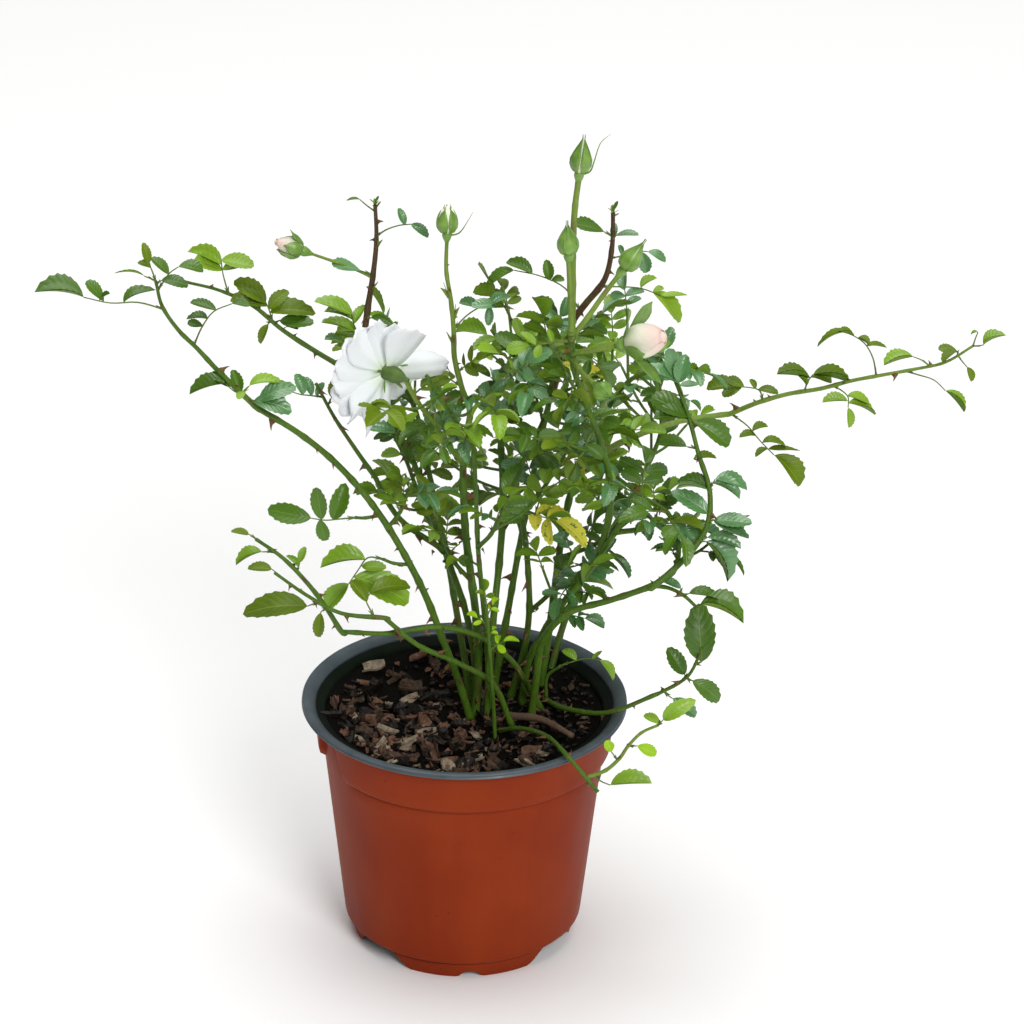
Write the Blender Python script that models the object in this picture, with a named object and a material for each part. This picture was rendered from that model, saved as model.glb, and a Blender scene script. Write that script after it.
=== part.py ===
"""A patio rose in its nursery pot: bare canes, sprays of leaves, buds and one open bloom.

Lengths are in millimetres in the tables and in metres in the model.  The origin is the middle of
the pot's underside, +Z is up, and the plant is widest along X.  A heading is measured round +Z:
0 is right (+X), 90 back (+Y), 180 left and 270 front.  A rise of 90 is straight up.
"""

import math
import random

import bmesh
import bpy
from mathutils import Matrix, Quaternion, Vector
from mathutils.bvhtree import BVHTree

MM = 0.001
UP = Vector((0, 0, 1))
GAP = 0.3  # clearance between neighbouring solids

# The pot: a thin-walled nursery pot with a foot ring, a stacking collar and a wide flat lip.
POT_HEIGHT = 150.0
RIM_RADIUS = 95.0
RIM_DEPTH = 6.0
RIM_WIDTH = 8.0
WALL = 2.0
FOOT_RADIUS = 67.5
FOOT_HEIGHT = 10.0
FOOT_STEP = 2.3
FLOOR_UNDERSIDE = 12.0
CENTRE_PAD_RADIUS = 12.0
WALL_TOP_RADIUS = 82.0  # just under the collar
COLLAR_LOW = 120.0
COLLAR_HIGH = 142.0
COLLAR_STEP = 2.0
COLLAR_FLARE = 3.4
COLLAR_GAPS = (-66.0, 114.0)  # degrees round from the front
COLLAR_GAP_HALF_WIDTH = 10.0
POT_TURN = 4.0
ARCH_ANGLES = (-50.0, 50.0, 130.0, -130.0)
ARCH_WIDTH = 34.0
ARCH_HEIGHT = 11.0
NOTCH_ANGLES = (0.0, 180.0)
NOTCH_WIDTH = 15.0
NOTCH_HEIGHT = 3.6
POT_SEGMENTS = 32

SOIL_TOP = 135.0
SOIL_CLEARANCE = 0.6
SOIL_SEGMENTS = 24

# How everything grows.
GOLDEN_ANGLE = math.radians(137.5)
CANE_INTERNODE = 30.0
KINK = 0.7  # how far a stem swings aside from node to node
CANE_SIDES = 6
TWIG_SIDES = 3
TWIG_WIDTH = (1.5, 1.2)
RACHIS_WIDTH = (1.5, 1.1)
LEAF_THICKNESS = 0.9
LEAFLET_WIDTH = 0.62  # of its length
LEAFLET_WIDEST = 0.45  # of its length out from the rib
LEAFLET_SEAT = 2.4  # length of rib that a leaflet springs from
KEEP_CLEAR = 0.45
POT_CLEAR_RADIUS = 99.0
POT_CLEAR_HEIGHT = 153.0
SOIL_CLEAR_RADIUS = 84.0
SOIL_CLEAR_HEIGHT = 139.0

# Canes rise from the soil: foot (x, y), length, width at foot and tip, and course, the
# (heading, rise) pairs that the cane turns through at even steps.
CANES = {
    "cane_far_left": ((4, 2), 260, (4.4, 3.2), ((204, 73), (210, 69), (203, 56), (196, 34))),
    "cane_left_upper": (
        (6.2, 15), 224, (4.2, 2.9),
        ((344, 86), (144, 78), (153, 65), (148, 70), (157, 57), (168, 37))),
    "cane_centre_left": (
        (6.2, 7.2), 175, (5.0, 4.0), ((359, 84), (189, 88), (194, 81), (134, 85), (309, 88))),
    "cane_front": (
        (13, 2.4), 192, (3.2, 2.5), ((64, 83), (254, 77), (255, 70), (244, 85), (259, 76))),
    "cane_centre_right": (
        (13.6, 10.6), 160, (4.6, 3.7), ((302, 86), (68, 83), (76, 63), (78, 80), (107, 69))),
    "cane_old": ((27, 29), 155, (4.4, 2.8), ((342, 71), (248, 82), (216, 77))),
    "cane_right_lean": ((34, 22), 170, (4.4, 3.5), ((301, 88), (317, 58), (320, 56), (313, 60))),
    "cane_right_tall": ((45, 40), 165, (4.6, 3.7), ((34, 80), (51, 81), (41, 79), (13, 57))),
    "cane_right_low": ((39, 2), 160, (4.4, 3.4), ((289, 75), (283, 72), (327, 28), (325, 33))),
    "cane_trailing_long": (
        (45, 17), 170, (3.6, 2.7), ((225, 61), (235, 52), (205, 37), (203, -4), (200, 21))),
    "cane_trailing_low": ((28, -5), 130, (3.6, 2.6), ((216, 78), (211, 29), (217, 52))),
    "cane_lower_right": (
        (47, 30), 100, (3.4, 2.4), ((288, 16), (296, 13), (341, 14), (14, 36))),
    "cane_hanging": ((20, -10), 110, (3.0, 2.2), ((302, 30), (301, 18), (296, 1), (347, -54))),
    "cane_back_left": ((4, 20), 155, (4.2, 3.0), ((119, 72), (116, 65), (119, 62))),
    "cane_back_centre": ((17, 36), 180, (4.4, 3.2), ((24, 80), (64, 68), (57, 66))),
    "cane_back_right": ((50, 52), 135, (4.2, 3.0), ((69, 63), (48, 44), (46, 43))),
    "dead_stub": ((24, 8), 62, (5.0, 3.2), ((318, 20), (310, 12), (300, -2))),
}

# Boughs leave a cane's side: cane, how far up it, length, width and course.
BOUGHS = {
    "bough_left_inner": ("cane_left_upper", 0.45, 70, (3.6, 2.8), ((194, 44), (205, 49), (229, 73))),
    "bough_long": ("cane_right_tall", 0.87, 90, (3.8, 3.0), ((15, 38), (13, 13), (15, -1))),
}


def spray(on, length, width, course, at=1.0, leaf=20, internode=20, bare=0.12, pairs=1, twigs=0,
          tip="leaf", shoots=(), leaf_to=1.0):
    """A mass of leaves: its one stem, the leaves along it and the shoots and twigs off it."""
    return dict(on=on, at=at, length=length, width=width, course=course, leaf=leaf,
                internode=internode, bare=bare, pairs=pairs, twigs=twigs, tip=tip,
                shoots=shoots, leaf_to=leaf_to)


def shoot(at, length, width, course, leaf=15, bare=0.3, pairs=1, tip="leaf", internode=16):
    """A side shoot, placed by hand, that carries leaves or ends in a bud."""
    return dict(at=at, length=length, width=width, course=course, leaf=leaf, bare=bare,
                pairs=pairs, tip=tip, internode=internode, frond=False)


def frond(at, length, course, face, leaflets):
    """One leaf, placed by hand: its course is its own rib and face the rise of its upper side.

    A leaflet is (share of the rib, heading, rise, length); the last one ends the rib.
    """
    return dict(at=at, length=length, course=course, face=face, leaflets=leaflets, frond=True)


SPRAYS = {
    "spray_far_left": spray(
        "cane_far_left", 98, (2.8, 1.3), ((192, 46), (190, 51), (191, 50), (270, 80)),
        leaf=15, bare=1.0, internode=16, tip="cut", shoots=(
            frond(0.81, 45, ((194, 29), (192, 1), (196, 25)), 82, ((0.51, 22, 39, 17),
                  (0.75, 164, 44, 15), (0.8, 331, 48, 9), (1.0, 180, 18, 26))),
            frond(0.98, 4, ((339, 44), (339, 44)), 52, ((1.0, 352, 4, 14),)),
            frond(0.94, 17, ((15, 65), (16, 30)), 72, ((0.61, 162, 45, 14), (1.0, 8, -5, 15))),
            frond(1.0, 11, ((180, 72), (180, 72)), 52, ((0.74, 209, 36, 8), (1.0, 180, 77, 12))),
            frond(1.0, 7, ((189, 29), (189, 29)), 97, ((1.0, 193, 31, 15),)),
            frond(0.53, 33, ((14, 75), (13, 52), (7, 10)), 75, ((0.37, 167, 6, 9),
                  (0.51, 201, 20, 12), (0.72, 165, 17, 16), (1.0, 0, 1, 10))),
            frond(0.11, 13, ((195, 21), (202, 58)), 60, ((0.73, 166, 32, 14), (0.19, 133, 67, 14),
                  (1.0, 192, -2, 20))),
            frond(0.13, 6, ((24, 36), (24, 36)), 75, ((0.43, 235, -24, 8), (1.0, 7, 26, 18))),
            frond(0.07, 6, ((340, -1), (340, -1)), 65, ((0.48, 345, 5, 20), (1.0, 9, 34, 22))),
        )),
    "spray_left_upper": spray(
        "cane_left_upper", 105, (2.8, 1.3), ((167, 24), (165, 37), (169, 2)),
        leaf=17, bare=1.0, internode=21, tip="cut", shoots=(
            frond(0.75, 21, ((166, 71), (123, 83)), 62, ((0.72, 200, 27, 20), (0.72, 18, 15, 13),
                  (0.86, 167, 27, 21), (1.0, 351, -3, 19))),
            frond(0.47, 12, ((180, 80), (180, 68)), 57, ((0.44, 355, 18, 23), (0.62, 18, 51, 15),
                  (0.8, 191, 15, 21), (1.0, 173, 39, 21))),
            frond(0.46, 4, ((343, 24), (343, 24)), 62, ((1.0, 349, -2, 22),)),
            frond(0.47, 3, ((221, -21), (221, -21)), 42, ((1.0, 219, -47, 12),)),
            frond(0.4, 3, ((334, 40), (334, 40)), 82, ((1.0, 342, 8, 13),)),
        )),
    "spray_left_inner": spray(
        "bough_left_inner", 70, (2.4, 1.3), ((192, 58), (194, 60), (198, 67)),
        leaf=16, bare=1.0, internode=22, tip="cut", shoots=(
            frond(0.86, 20, ((191, 9), (194, 23)), 75, ((0.21, 38, 55, 9), (0.33, 149, 71, 12),
                  (0.6, 138, 70, 13), (1.0, 190, 32, 13))),
            frond(0.78, 5, ((26, 64), (26, 64)), 50, ((1.0, 20, 64, 13),)),
        )),
    "spray_left_leaf": spray(
        "cane_far_left", 12, (1.7, 1.4), ((200, 3), (195, 15)), at=0.6, bare=1.0, tip="cut", shoots=(
            frond(1.0, 26, ((187, -8), (205, 20)), 28, ((0.5, 17, 70, 21), (0.76, 144, 81, 21),
                  (0.8, 327, -74, 14), (1.0, 180, 12, 25))),
        )),
    "spray_bloom": spray(
        "cane_centre_left", 84, (2.8, 2.0), ((231, 59), (230, 52), (233, 58)), at=0.93,
        leaf=17, bare=0.25, leaf_to=0.7, tip="bloom"),
    "spray_left_bud": spray(
        "cane_left_upper", 135, (2.6, 1.1),
        ((187, 53), (262, 83), (319, 78), (307, 80), (236, 81)), at=0.86,
        leaf=16, bare=1.0, internode=22, tip="cut", shoots=(
            shoot(0.66, 41, (1.5, 1.3), ((192, 30), (198, 23)), bare=1.0, tip="opening_bud"),
            frond(0.34, 20, ((187, 54), (243, 82)), 65, ((0.36, 192, 28, 22), (0.71, 29, 58, 12),
                  (0.81, 172, 27, 17), (1.0, 188, 28, 23))),
            frond(0.48, 3, ((328, -43), (328, -43)), 60, ((1.0, 347, -15, 14),)),
            frond(0.67, 8, ((197, 27), (197, 27)), 80, ((1.0, 194, 15, 17),)),
            frond(0.97, 12, ((186, 34), (201, 49)), 75, ((1.0, 197, 16, 7),)),
            frond(0.85, 23, ((335, 51), (349, 20), (337, 13)), 55, ((0.84, 150, 67, 10),
                  (1.0, 344, -28, 12))),
        )),
    "spray_second_bud": spray(
        "cane_centre_left", 134, (3.2, 1.6),
        ((345, 65), (201, 66), (275, 81), (220, 77), (299, 80)),
        leaf=17, internode=19, leaf_to=0.42, tip="white_bud", shoots=(
            shoot(0.49, 42, (1.6, 1.2), ((209, 1), (195, 41), (201, 26)), leaf=12),
            frond(0.57, 29, ((26, 58), (14, 26), (8, -1)), 60, ((0.67, 166, 11, 13),
                  (0.86, 265, -58, 11), (0.86, 17, 29, 12), (1.0, 202, 9, 16))),
        )),
    "spray_front_left": spray(
        "cane_front", 65, (2.6, 1.6), ((224, 59), (220, 55), (226, 59)),
        leaf=21, internode=23, twigs=3),
    "spray_centre": spray(
        "cane_centre_right", 85, (3.6, 1.8), ((282, 86), (351, 67), (187, 57)),
        leaf=21, internode=23, twigs=3),
    "spray_old": spray(
        "cane_old", 95, (2.8, 1.6), ((332, 61), (322, 71), (223, 72)),
        leaf=21, internode=23, twigs=3),
    "spray_candelabra": spray(
        "cane_right_lean", 175, (3.3, 2.4), ((316, 62), (244, 69), (225, 61), (273, 68)), at=0.77,
        leaf=18, internode=29, leaf_to=0.72, twigs=1, tip="cut", shoots=(
            shoot(0.985, 90, (2.2, 1.8), ((281, 87), (242, 87),
                  (327, 82)), bare=1.0,
                  tip="top_bud"),
            shoot(0.96, 52, (1.8, 1.6), ((257, 77), (256, 75)), bare=1.0, tip="green_bud"),
            shoot(0.97, 43, (1.8, 1.5), ((5, 55), (3, 56)), bare=1.0, tip="green_bud"),
            shoot(0.9, 29, (1.9, 1.6), ((337, 19), (331, 21)), bare=1.0, tip="blush_bud"),
            shoot(0.88, 28, (1.7, 1.5), ((288, -14), (300, -5)), bare=1.0, tip="small_bud"),
        )),
    "spray_right_lean": spray(
        "cane_right_lean", 41, (2.8, 1.6), ((331, 32), (336, 25), (332, 40)), at=0.9,
        leaf=21, internode=14, bare=0.4),
    "spray_right_tall": spray(
        "cane_right_tall", 65, (3.0, 1.5), ((325, 76), (346, 54), (352, -7)),
        leaf=18, internode=24, twigs=2),
    "spray_long": spray(
        "bough_long", 150, (2.6, 1.2), ((348, 34), (351, 15), (349, 20), (351, 12), (347, 45)),
        leaf=15, bare=1.0, internode=19, tip="cut", shoots=(
            frond(0.0, 36, ((344, -17), (340, -54), (332, -28)), 82, ((0.47, 18, 23, 10),
                  (0.57, 196, 14, 11), (0.72, 8, 13, 14), (0.86, 206, -11, 9), (0.86, 9, -10, 20),
                  (1.0, 348, -40, 25))),
            frond(0.14, 23, ((333, 76), (194, 22), (184, -4)), 72, ((0.4, 345, 14, 12),
                  (0.48, 132, 55, 7), (0.8, 164, 19, 11), (0.86, 199, -21, 13),
                  (1.0, 183, 5, 18))),
            frond(0.31, 13, ((325, 74), (323, 59)), 87, ((0.29, 211, 55, 10), (0.73, 188, 15, 22),
                  (0.8, 345, 1, 12), (1.0, 5, -10, 23))),
            frond(0.42, 18, ((352, -4), (338, -46), (239, -64)), 72, ((0.63, 11, -2, 15),
                  (0.8, 187, 3, 16), (0.86, 10, -17, 19), (1.0, 297, -70, 13))),
            frond(0.6, 34, ((157, 85), (168, 60), (176, 15)), 95, ((0.58, 15, 12, 12),
                  (0.8, 340, -10, 9), (0.86, 190, 25, 11), (1.0, 180, -4, 18))),
            frond(0.71, 27, ((353, -8), (349, -17), (340, -48)), 92, ((1.0, 342, -41, 17),)),
            frond(0.81, 12, ((191, 43), (192, 22)), 92, ((1.0, 189, -10, 19),)),
            frond(0.93, 3, ((259, 73), (259, 73)), 82, ((0.57, 164, 3, 11), (1.0, 204, -26, 11))),
            frond(0.93, 9, ((349, -50), (349, -50)), 82, ((1.0, 315, -61, 9),)),
            frond(1.0, 9, ((0, 75), (0, 75)), 82, ((1.0, 155, -18, 5),)),
            frond(1.0, 6, ((0, 7), (0, 7)), 92, ((1.0, 5, 39, 14),)),
        )),
    "spray_right_low": spray(
        "cane_right_low", 130, (3.1, 1.6), ((28, 32), (25, 42), (127, 65), (133, 62), (134, 61)),
        leaf=20, bare=1.0, internode=22, tip="cut", shoots=(
            frond(0.28, 4, ((332, -9), (332, -9)), 80, ((1.0, 342, -44, 28),)),
            frond(0.29, 4, ((346, 2), (346, 2)), 65, ((1.0, 346, -10, 21),)),
            frond(0.3, 3, ((50, 49), (50, 49)), 70, ((1.0, 166, 29, 19),)),
            frond(0.36, 5, ((347, 32), (347, 32)), 60, ((0.86, 339, -22, 24), (1.0, 352, -4, 22))),
            frond(0.38, 3, ((43, 61), (43, 61)), 50, ((1.0, 171, 37, 24),)),
            frond(0.48, 4, ((112, 58), (112, 58)), 80, ((1.0, 167, 20, 19),)),
            frond(0.51, 7, ((0, 64), (0, 64)), 65, ((0.61, 347, -13, 18), (1.0, 6, -2, 19))),
            frond(0.63, 5, ((180, 30), (180, 30)), 70, ((1.0, 9, 5, 13),)),
            frond(0.69, 6, ((170, 10), (170, 10)), 65, ((1.0, 169, 3, 16),)),
            frond(0.79, 4, ((323, 67), (323, 67)), 70, ((1.0, 347, -26, 25),)),
            frond(0.81, 3, ((122, 66), (122, 66)), 70, ((0.39, 197, 20, 22), (1.0, 172, 24, 23))),
            frond(0.88, 17, ((144, 81), (162, 63)), 60, ((0.76, 16, -4, 11), (0.86, 41, 73, 16),
                  (0.86, 186, 30, 22), (1.0, 153, 70, 19))),
        )),
    "spray_right_inner": spray(
        "cane_right_low", 90, (2.6, 1.5), ((20, 5), (75, 59), (150, 21), (144, 23)), at=0.96,
        leaf=19, internode=17, bare=0.3, twigs=1),
    "spray_right_branch": spray(
        "cane_right_low", 46, (2.1, 1.4), ((346, 33), (343, 1), (326, -46)), at=0.86, bare=1.0,
        internode=12, tip="cut", shoots=(
            frond(0.74, 4, ((346, 13), (346, 13)), 70, ((1.0, 354, 0, 18),)),
            frond(0.97, 3, ((337, 38), (337, 38)), 80, ((1.0, 354, -7, 27),)),
            frond(0.69, 3, ((28, 49), (28, 49)), 65, ((1.0, 168, 32, 17),)),
        )),
    "spray_lower_right": spray(
        "cane_lower_right", 40, (2.1, 1.3), ((358, 26), (358, 47), (334, 87)),
        bare=1.0, internode=20, tip="cut", shoots=(
            frond(0.0, 11, ((187, 37), (267, 75)), 50, ((0.65, 347, 29, 10), (1.0, 167, 46, 20))),
            frond(0.07, 7, ((349, -39), (349, -39)), 50, ((1.0, 349, -33, 18),)),
            frond(0.41, 3, ((47, 52), (47, 52)), 35, ((1.0, 163, 56, 18),)),
            frond(0.47, 4, ((344, -25), (344, -25)), 50, ((1.0, 351, -28, 21),)),
            frond(0.71, 5, ((0, 21), (0, 21)), 30, ((1.0, 148, 83, 31),)),
            frond(0.98, 6, ((0, 54), (0, 54)), 35, ((1.0, 26, 75, 18),)),
        )),
    "spray_hanging": spray(
        "cane_hanging", 54, (1.9, 1.3), ((353, 15), (346, 66), (353, 25)), at=0.9, bare=1.0,
        internode=11, tip="cut", shoots=(
            frond(0.05, 12, ((354, -45), (354, -20)), 70, ((1.0, 353, 10, 25),)),
            frond(1.0, 5, ((340, 54), (340, 54)), 40, ((0.44, 160, 24, 10), (1.0, 347, 45, 19))),
            frond(0.37, 7, ((197, 58), (197, 58)), 40, ((1.0, 219, 65, 11),)),
            frond(0.6, 5, ((350, 10), (350, 0)), 40, ((1.0, 350, -20, 12),)),
        )),
    "spray_trailing_long": spray(
        "cane_trailing_long", 80, (2.5, 1.5), ((199, 64), (194, 55), (190, 37)),
        leaf=15, bare=1.0, internode=20, tip="cut", shoots=(
            frond(0.82, 8, ((202, 14), (202, 14)), 80, ((1.0, 195, -11, 16),)),
            frond(0.6, 6, ((40, 70), (40, 70)), 60, ((0.5, 170, 50, 9), (1.0, 30, 70, 10))),
            frond(1.0, 5, ((190, 40), (190, 40)), 60, ((1.0, 195, 20, 11),)),
        )),
    "spray_trailing_low": spray(
        "cane_trailing_low", 76, (2.5, 1.3), ((196, 1), (200, 39), (201, 44)),
        leaf=16, bare=0.9, internode=25, shoots=(
            frond(0.08, 16, ((170, 45), (60, 20)), 55, ((0.6, 150, 50, 16), (1.0, 15, 20, 24))),
            frond(0.46, 6, ((215, -19), (215, -19)), 35, ((1.0, 248, -72, 14),)),
            frond(0.54, 8, ((203, -5), (203, -5)), 60, ((1.0, 187, 7, 34),)),
            frond(0.69, 26, ((200, 40), (189, 45), (203, 44)), 55, ((1.0, 188, 9, 14),)),
        )),
    "spray_new_shoot": spray(
        (18, -22), 90, (1.9, 1.4), ((217, 86), (229, 83)), leaf=9, internode=15, bare=0.6),
    "spray_dark_top": spray(
        "cane_back_centre", 125, (3.1, 1.2),
        ((352, 72), (320, 87), (357, 43), (345, 81), (28, 95)),
        leaf=14, internode=22, bare=0.2, leaf_to=0.4, twigs=1, tip="cut", shoots=(
            frond(0.47, 48, ((166, 69), (170, 25), (170, -1)), 65, ((0.53, 339, 20, 9),
                  (0.55, 130, 78, 13), (0.77, 169, 30, 18), (1.0, 189, -14, 19))),
            frond(0.62, 37, ((350, 10), (352, -3), (349, -22)), 70, ((0.66, 19, 40, 12),
                  (0.86, 25, 20, 8), (0.86, 348, -27, 22), (1.0, 4, -3, 16))),
            frond(0.77, 23, ((355, 16), (356, 22), (352, -5)), 65, ((0.33, 113, 53, 7),
                  (0.8, 320, -64, 14), (1.0, 350, -11, 11))),
            frond(0.86, 4, ((333, 58), (333, 58)), 80, ((0.47, 82, 70, 9), (1.0, 351, 12, 13))),
            frond(0.88, 6, ((191, 35), (191, 35)), 75, ((1.0, 189, 16, 19),)),
        )),
    "spray_back_left": spray(
        "cane_back_left", 60, (2.8, 1.6), ((119, 67), (141, 61), (122, 70)),
        leaf=21, internode=23, twigs=3),
    "spray_back_right": spray(
        "cane_back_right", 57, (2.8, 1.6), ((22, 62), (28, 70), (156, 69)),
        leaf=21, internode=23, twigs=2),
    "spray_low_left": spray(
        "cane_far_left", 28, (2.0, 1.4), ((10, 60), (40, 62)), at=0.56,
        leaf=18, internode=10, bare=0.3),
    "spray_low_front": spray(
        "cane_front", 50, (2.2, 1.5), ((290, 40), (300, 62)), at=0.66,
        leaf=21, internode=23, bare=0.3, twigs=1),
    "spray_low_centre": spray(
        "cane_centre_right", 55, (2.4, 1.5), ((345, 45), (20, 60)), at=0.72,
        leaf=21, internode=23, bare=0.3, twigs=1),
    "spray_low_right": spray(
        "cane_right_tall", 60, (2.4, 1.5), ((350, 30), (0, 45)), at=0.5,
        leaf=21, internode=23, bare=0.3, twigs=1),
    "spray_low_back": spray(
        "cane_back_centre", 65, (2.6, 1.5), ((110, 35), (95, 50)), at=0.55,
        leaf=21, internode=19, bare=0.25, twigs=1),
    "spray_back_low_left": spray(
        "cane_back_left", 76, (2.6, 1.5), ((150, 60), (160, 72), (170, 60)), at=0.62,
        leaf=19, internode=17, bare=0.25, twigs=1),
    "spray_arch_leaf": spray(
        "cane_far_left", 14, (1.7, 1.4), ((186, 11), (193, 35)), at=0.45, bare=1.0, tip="cut", shoots=(
            frond(1.0, 28, ((191, 39), (194, -53), (202, -58)), 60, ((0.4, 187, 4, 25),
                  (0.55, 349, -1, 15), (0.82, 352, -20, 36), (1.0, 195, -45, 20))),
        )),
    "spray_low_inner": spray(
        "cane_centre_left", 42, (2.2, 1.4), ((185, 60), (175, 75)), at=0.5,
        leaf=19, internode=15, bare=0.25),
    "spray_low_lean": spray(
        "cane_right_lean", 34, (2.2, 1.4), ((350, 50), (10, 66)), at=0.36,
        leaf=20, internode=14, bare=0.25, twigs=1),
    "spray_over_pot": spray(
        "cane_lower_right", 25, (1.7, 1.4), ((210, 77), (349, 32)), at=0.04, bare=1.0, tip="cut", shoots=(
            frond(1.0, 24, ((353, 34), (352, -8)), 70, ((0.42, 159, 36, 10), (0.8, 21, 32, 8),
                  (1.0, 342, -48, 15))),
        )),
    "spray_mid_low": spray(
        "cane_old", 52, (2.3, 1.4), ((345, 55), (15, 62)), at=0.4,
        leaf=21, internode=15, bare=0.25, twigs=1),
    "spray_left_mid": spray(
        "cane_left_upper", 25.9, (1.9, 1.4), ((229, 52), (230, 67)), at=0.7, bare=1.0, internode=7,
        tip="cut", shoots=(
            frond(0.17, 4, ((330, 13), (330, 13)), 60, ((1.0, 342, 4, 16),)),
            frond(0.4, 3, ((198, -16), (198, -16)), 50, ((1.0, 199, 11, 12),)),
            frond(0.61, 4, ((0, 48), (0, 48)), 55, ((1.0, 9, 37, 17),)),
            frond(0.93, 3, ((224, 65), (224, 65)), 60, ((1.0, 195, 24, 17),)),
            frond(1.0, 5, ((319, 72), (319, 72)), 60, ((0.57, 15, 37, 15), (1.0, 166, 58, 16))),
        )),
}

# The seed that each spray's growth by the rule is thrown from.
SEEDS = {
    "spray_bloom": 24, "spray_second_bud": 34, "spray_front_left": 1, "spray_centre": 18,
    "spray_old": 1, "spray_candelabra": 10, "spray_right_lean": 6, "spray_right_tall": 7,
    "spray_right_inner": 26, "spray_trailing_low": 1, "spray_new_shoot": 25, "spray_dark_top": 3,
    "spray_back_left": 7, "spray_back_right": 7, "spray_low_left": 28, "spray_low_front": 2,
    "spray_low_centre": 18, "spray_low_right": 8, "spray_low_back": 12, "spray_back_low_left": 3,
    "spray_low_inner": 7, "spray_low_lean": 16, "spray_mid_low": 12,
}

# Buds by name: length and width of the bud, length of its sepals, and how far it is open.
BUDS = {
    "top_bud": (21, 11, 16, 0.35),
    "green_bud": (19, 11, 10, 0.0),
    "small_bud": (12, 10, 8, 0.0),
    "white_bud": (17, 11, 15, 0.7),
    "opening_bud": (16, 12, 13, 0.8),
    "blush_bud": (25, 19, 22, 0.5),
}
# Rings of petals: how many, length, width, lift from flat and turn, and the bloom's own heading.
BLOOM_PETALS = ((7, 33, 20, 8, 0.0), (6, 27, 18, 36, 0.5))
PETAL_TWIST = math.radians(15)
PETAL_WIDEST = 0.68
BLOOM_HEADING = 130.0
BLOOM_RISE = -14.0


# --- Growing -----------------------------------------------------------------------------------

def bearing(heading, rise):
    """The unit vector of a heading and a rise in degrees."""
    h, r = math.radians(heading), math.radians(rise)
    return Vector((math.cos(r) * math.cos(h), math.cos(r) * math.sin(h), math.sin(r)))


def grow(start, length, course, internode):
    """The nodes of a stem: it turns evenly through its course and swings a little at each node."""
    count = max(2, round(length / internode))
    fine = 4
    steps = [bearing(*pair) for pair in course]
    nodes = [start.copy()]
    point = start.copy()
    for i in range(count * fine):
        t = (i + 0.5) / (count * fine) * (len(steps) - 1)
        a = min(int(t), len(steps) - 2)
        ahead = steps[a].lerp(steps[a + 1], t - a).normalized()
        point = point + ahead * (length * MM / (count * fine))
        if (i + 1) % fine == 0:
            index = (i + 1) // fine
            aside = ahead.cross(UP if abs(ahead.z) < 0.9 else Vector((1, 0, 0))).normalized()
            swing = KINK * MM * (1 if index % 2 else -1) * (index < count)
            nodes.append(point + aside * swing)
    return nodes


def along(nodes, share):
    """The point and the direction at a share of a stem's nodes."""
    place = min(max(share, 0.0), 1.0) * (len(nodes) - 1)
    i = min(int(place), len(nodes) - 2)
    return nodes[i].lerp(nodes[i + 1], place - i), (nodes[i + 1] - nodes[i]).normalized()


def width_at(stem, share):
    return stem["width"][0] + (stem["width"][1] - stem["width"][0]) * share


def bud_off(parent, share, direction, width):
    """Where a separate stem starts on its parent's side, GAP clear of it."""
    point, ahead = along(parent["nodes"], share)
    aside = (direction - ahead * direction.dot(ahead)).normalized()
    lean = abs(direction.dot(ahead))
    out = width_at(parent, share) / 2 + GAP + width / 2 * lean
    return point + aside * (out * MM)


def follow_on(parent, direction, width):
    """Where a separate stem carries on from its parent's tip, GAP clear of it."""
    point, ahead = along(parent["nodes"], 1.0)
    turn = math.sqrt(max(0.0, 1 - direction.dot(ahead) ** 2))
    return point + ahead * ((GAP + turn * width / 2) * MM)


def prism(nodes, width, grown=0.0, sides=TWIG_SIDES, level_foot=False):
    """A tapering stem through the nodes as a bmesh: a ring extruded from node to node."""
    bm = bmesh.new()
    ring = bmesh.ops.create_circle(bm, cap_ends=True, segments=sides, radius=1.0)["verts"]
    face = ring[0].link_faces[0]
    ahead = (nodes[1] - nodes[0]).normalized()
    turn = ahead.to_track_quat("Z", "Y")
    for i, node in enumerate(nodes):
        if i:
            last = face
            made = bmesh.ops.extrude_face_region(bm, geom=[last])["geom"]
            face = next(g for g in made if isinstance(g, bmesh.types.BMFace))
            if i > 1 and last.is_valid:
                bmesh.ops.delete(bm, geom=[last], context="FACES_ONLY")
            leaving = (nodes[i + 1] - node).normalized() if i + 1 < len(nodes) else ahead
            bend = ahead.rotation_difference((ahead + leaving).normalized())
            turn = bend @ turn
            ahead_after = leaving
        radius = (width[0] + (width[1] - width[0]) * i / (len(nodes) - 1)) / 2 + grown
        for k, vert in enumerate(face.verts):
            angle = math.tau * k / sides
            vert.co = node + turn @ (Vector((math.cos(angle), math.sin(angle), 0)) * radius * MM)
            if level_foot and i == 0:
                vert.co += ahead * ((node.z - vert.co.z) / ahead.z)
        if i:
            turn = (ahead + leaving).normalized().rotation_difference(ahead_after) @ turn
            ahead = ahead_after
    bmesh.ops.recalc_face_normals(bm, faces=bm.faces)
    return bm


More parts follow.
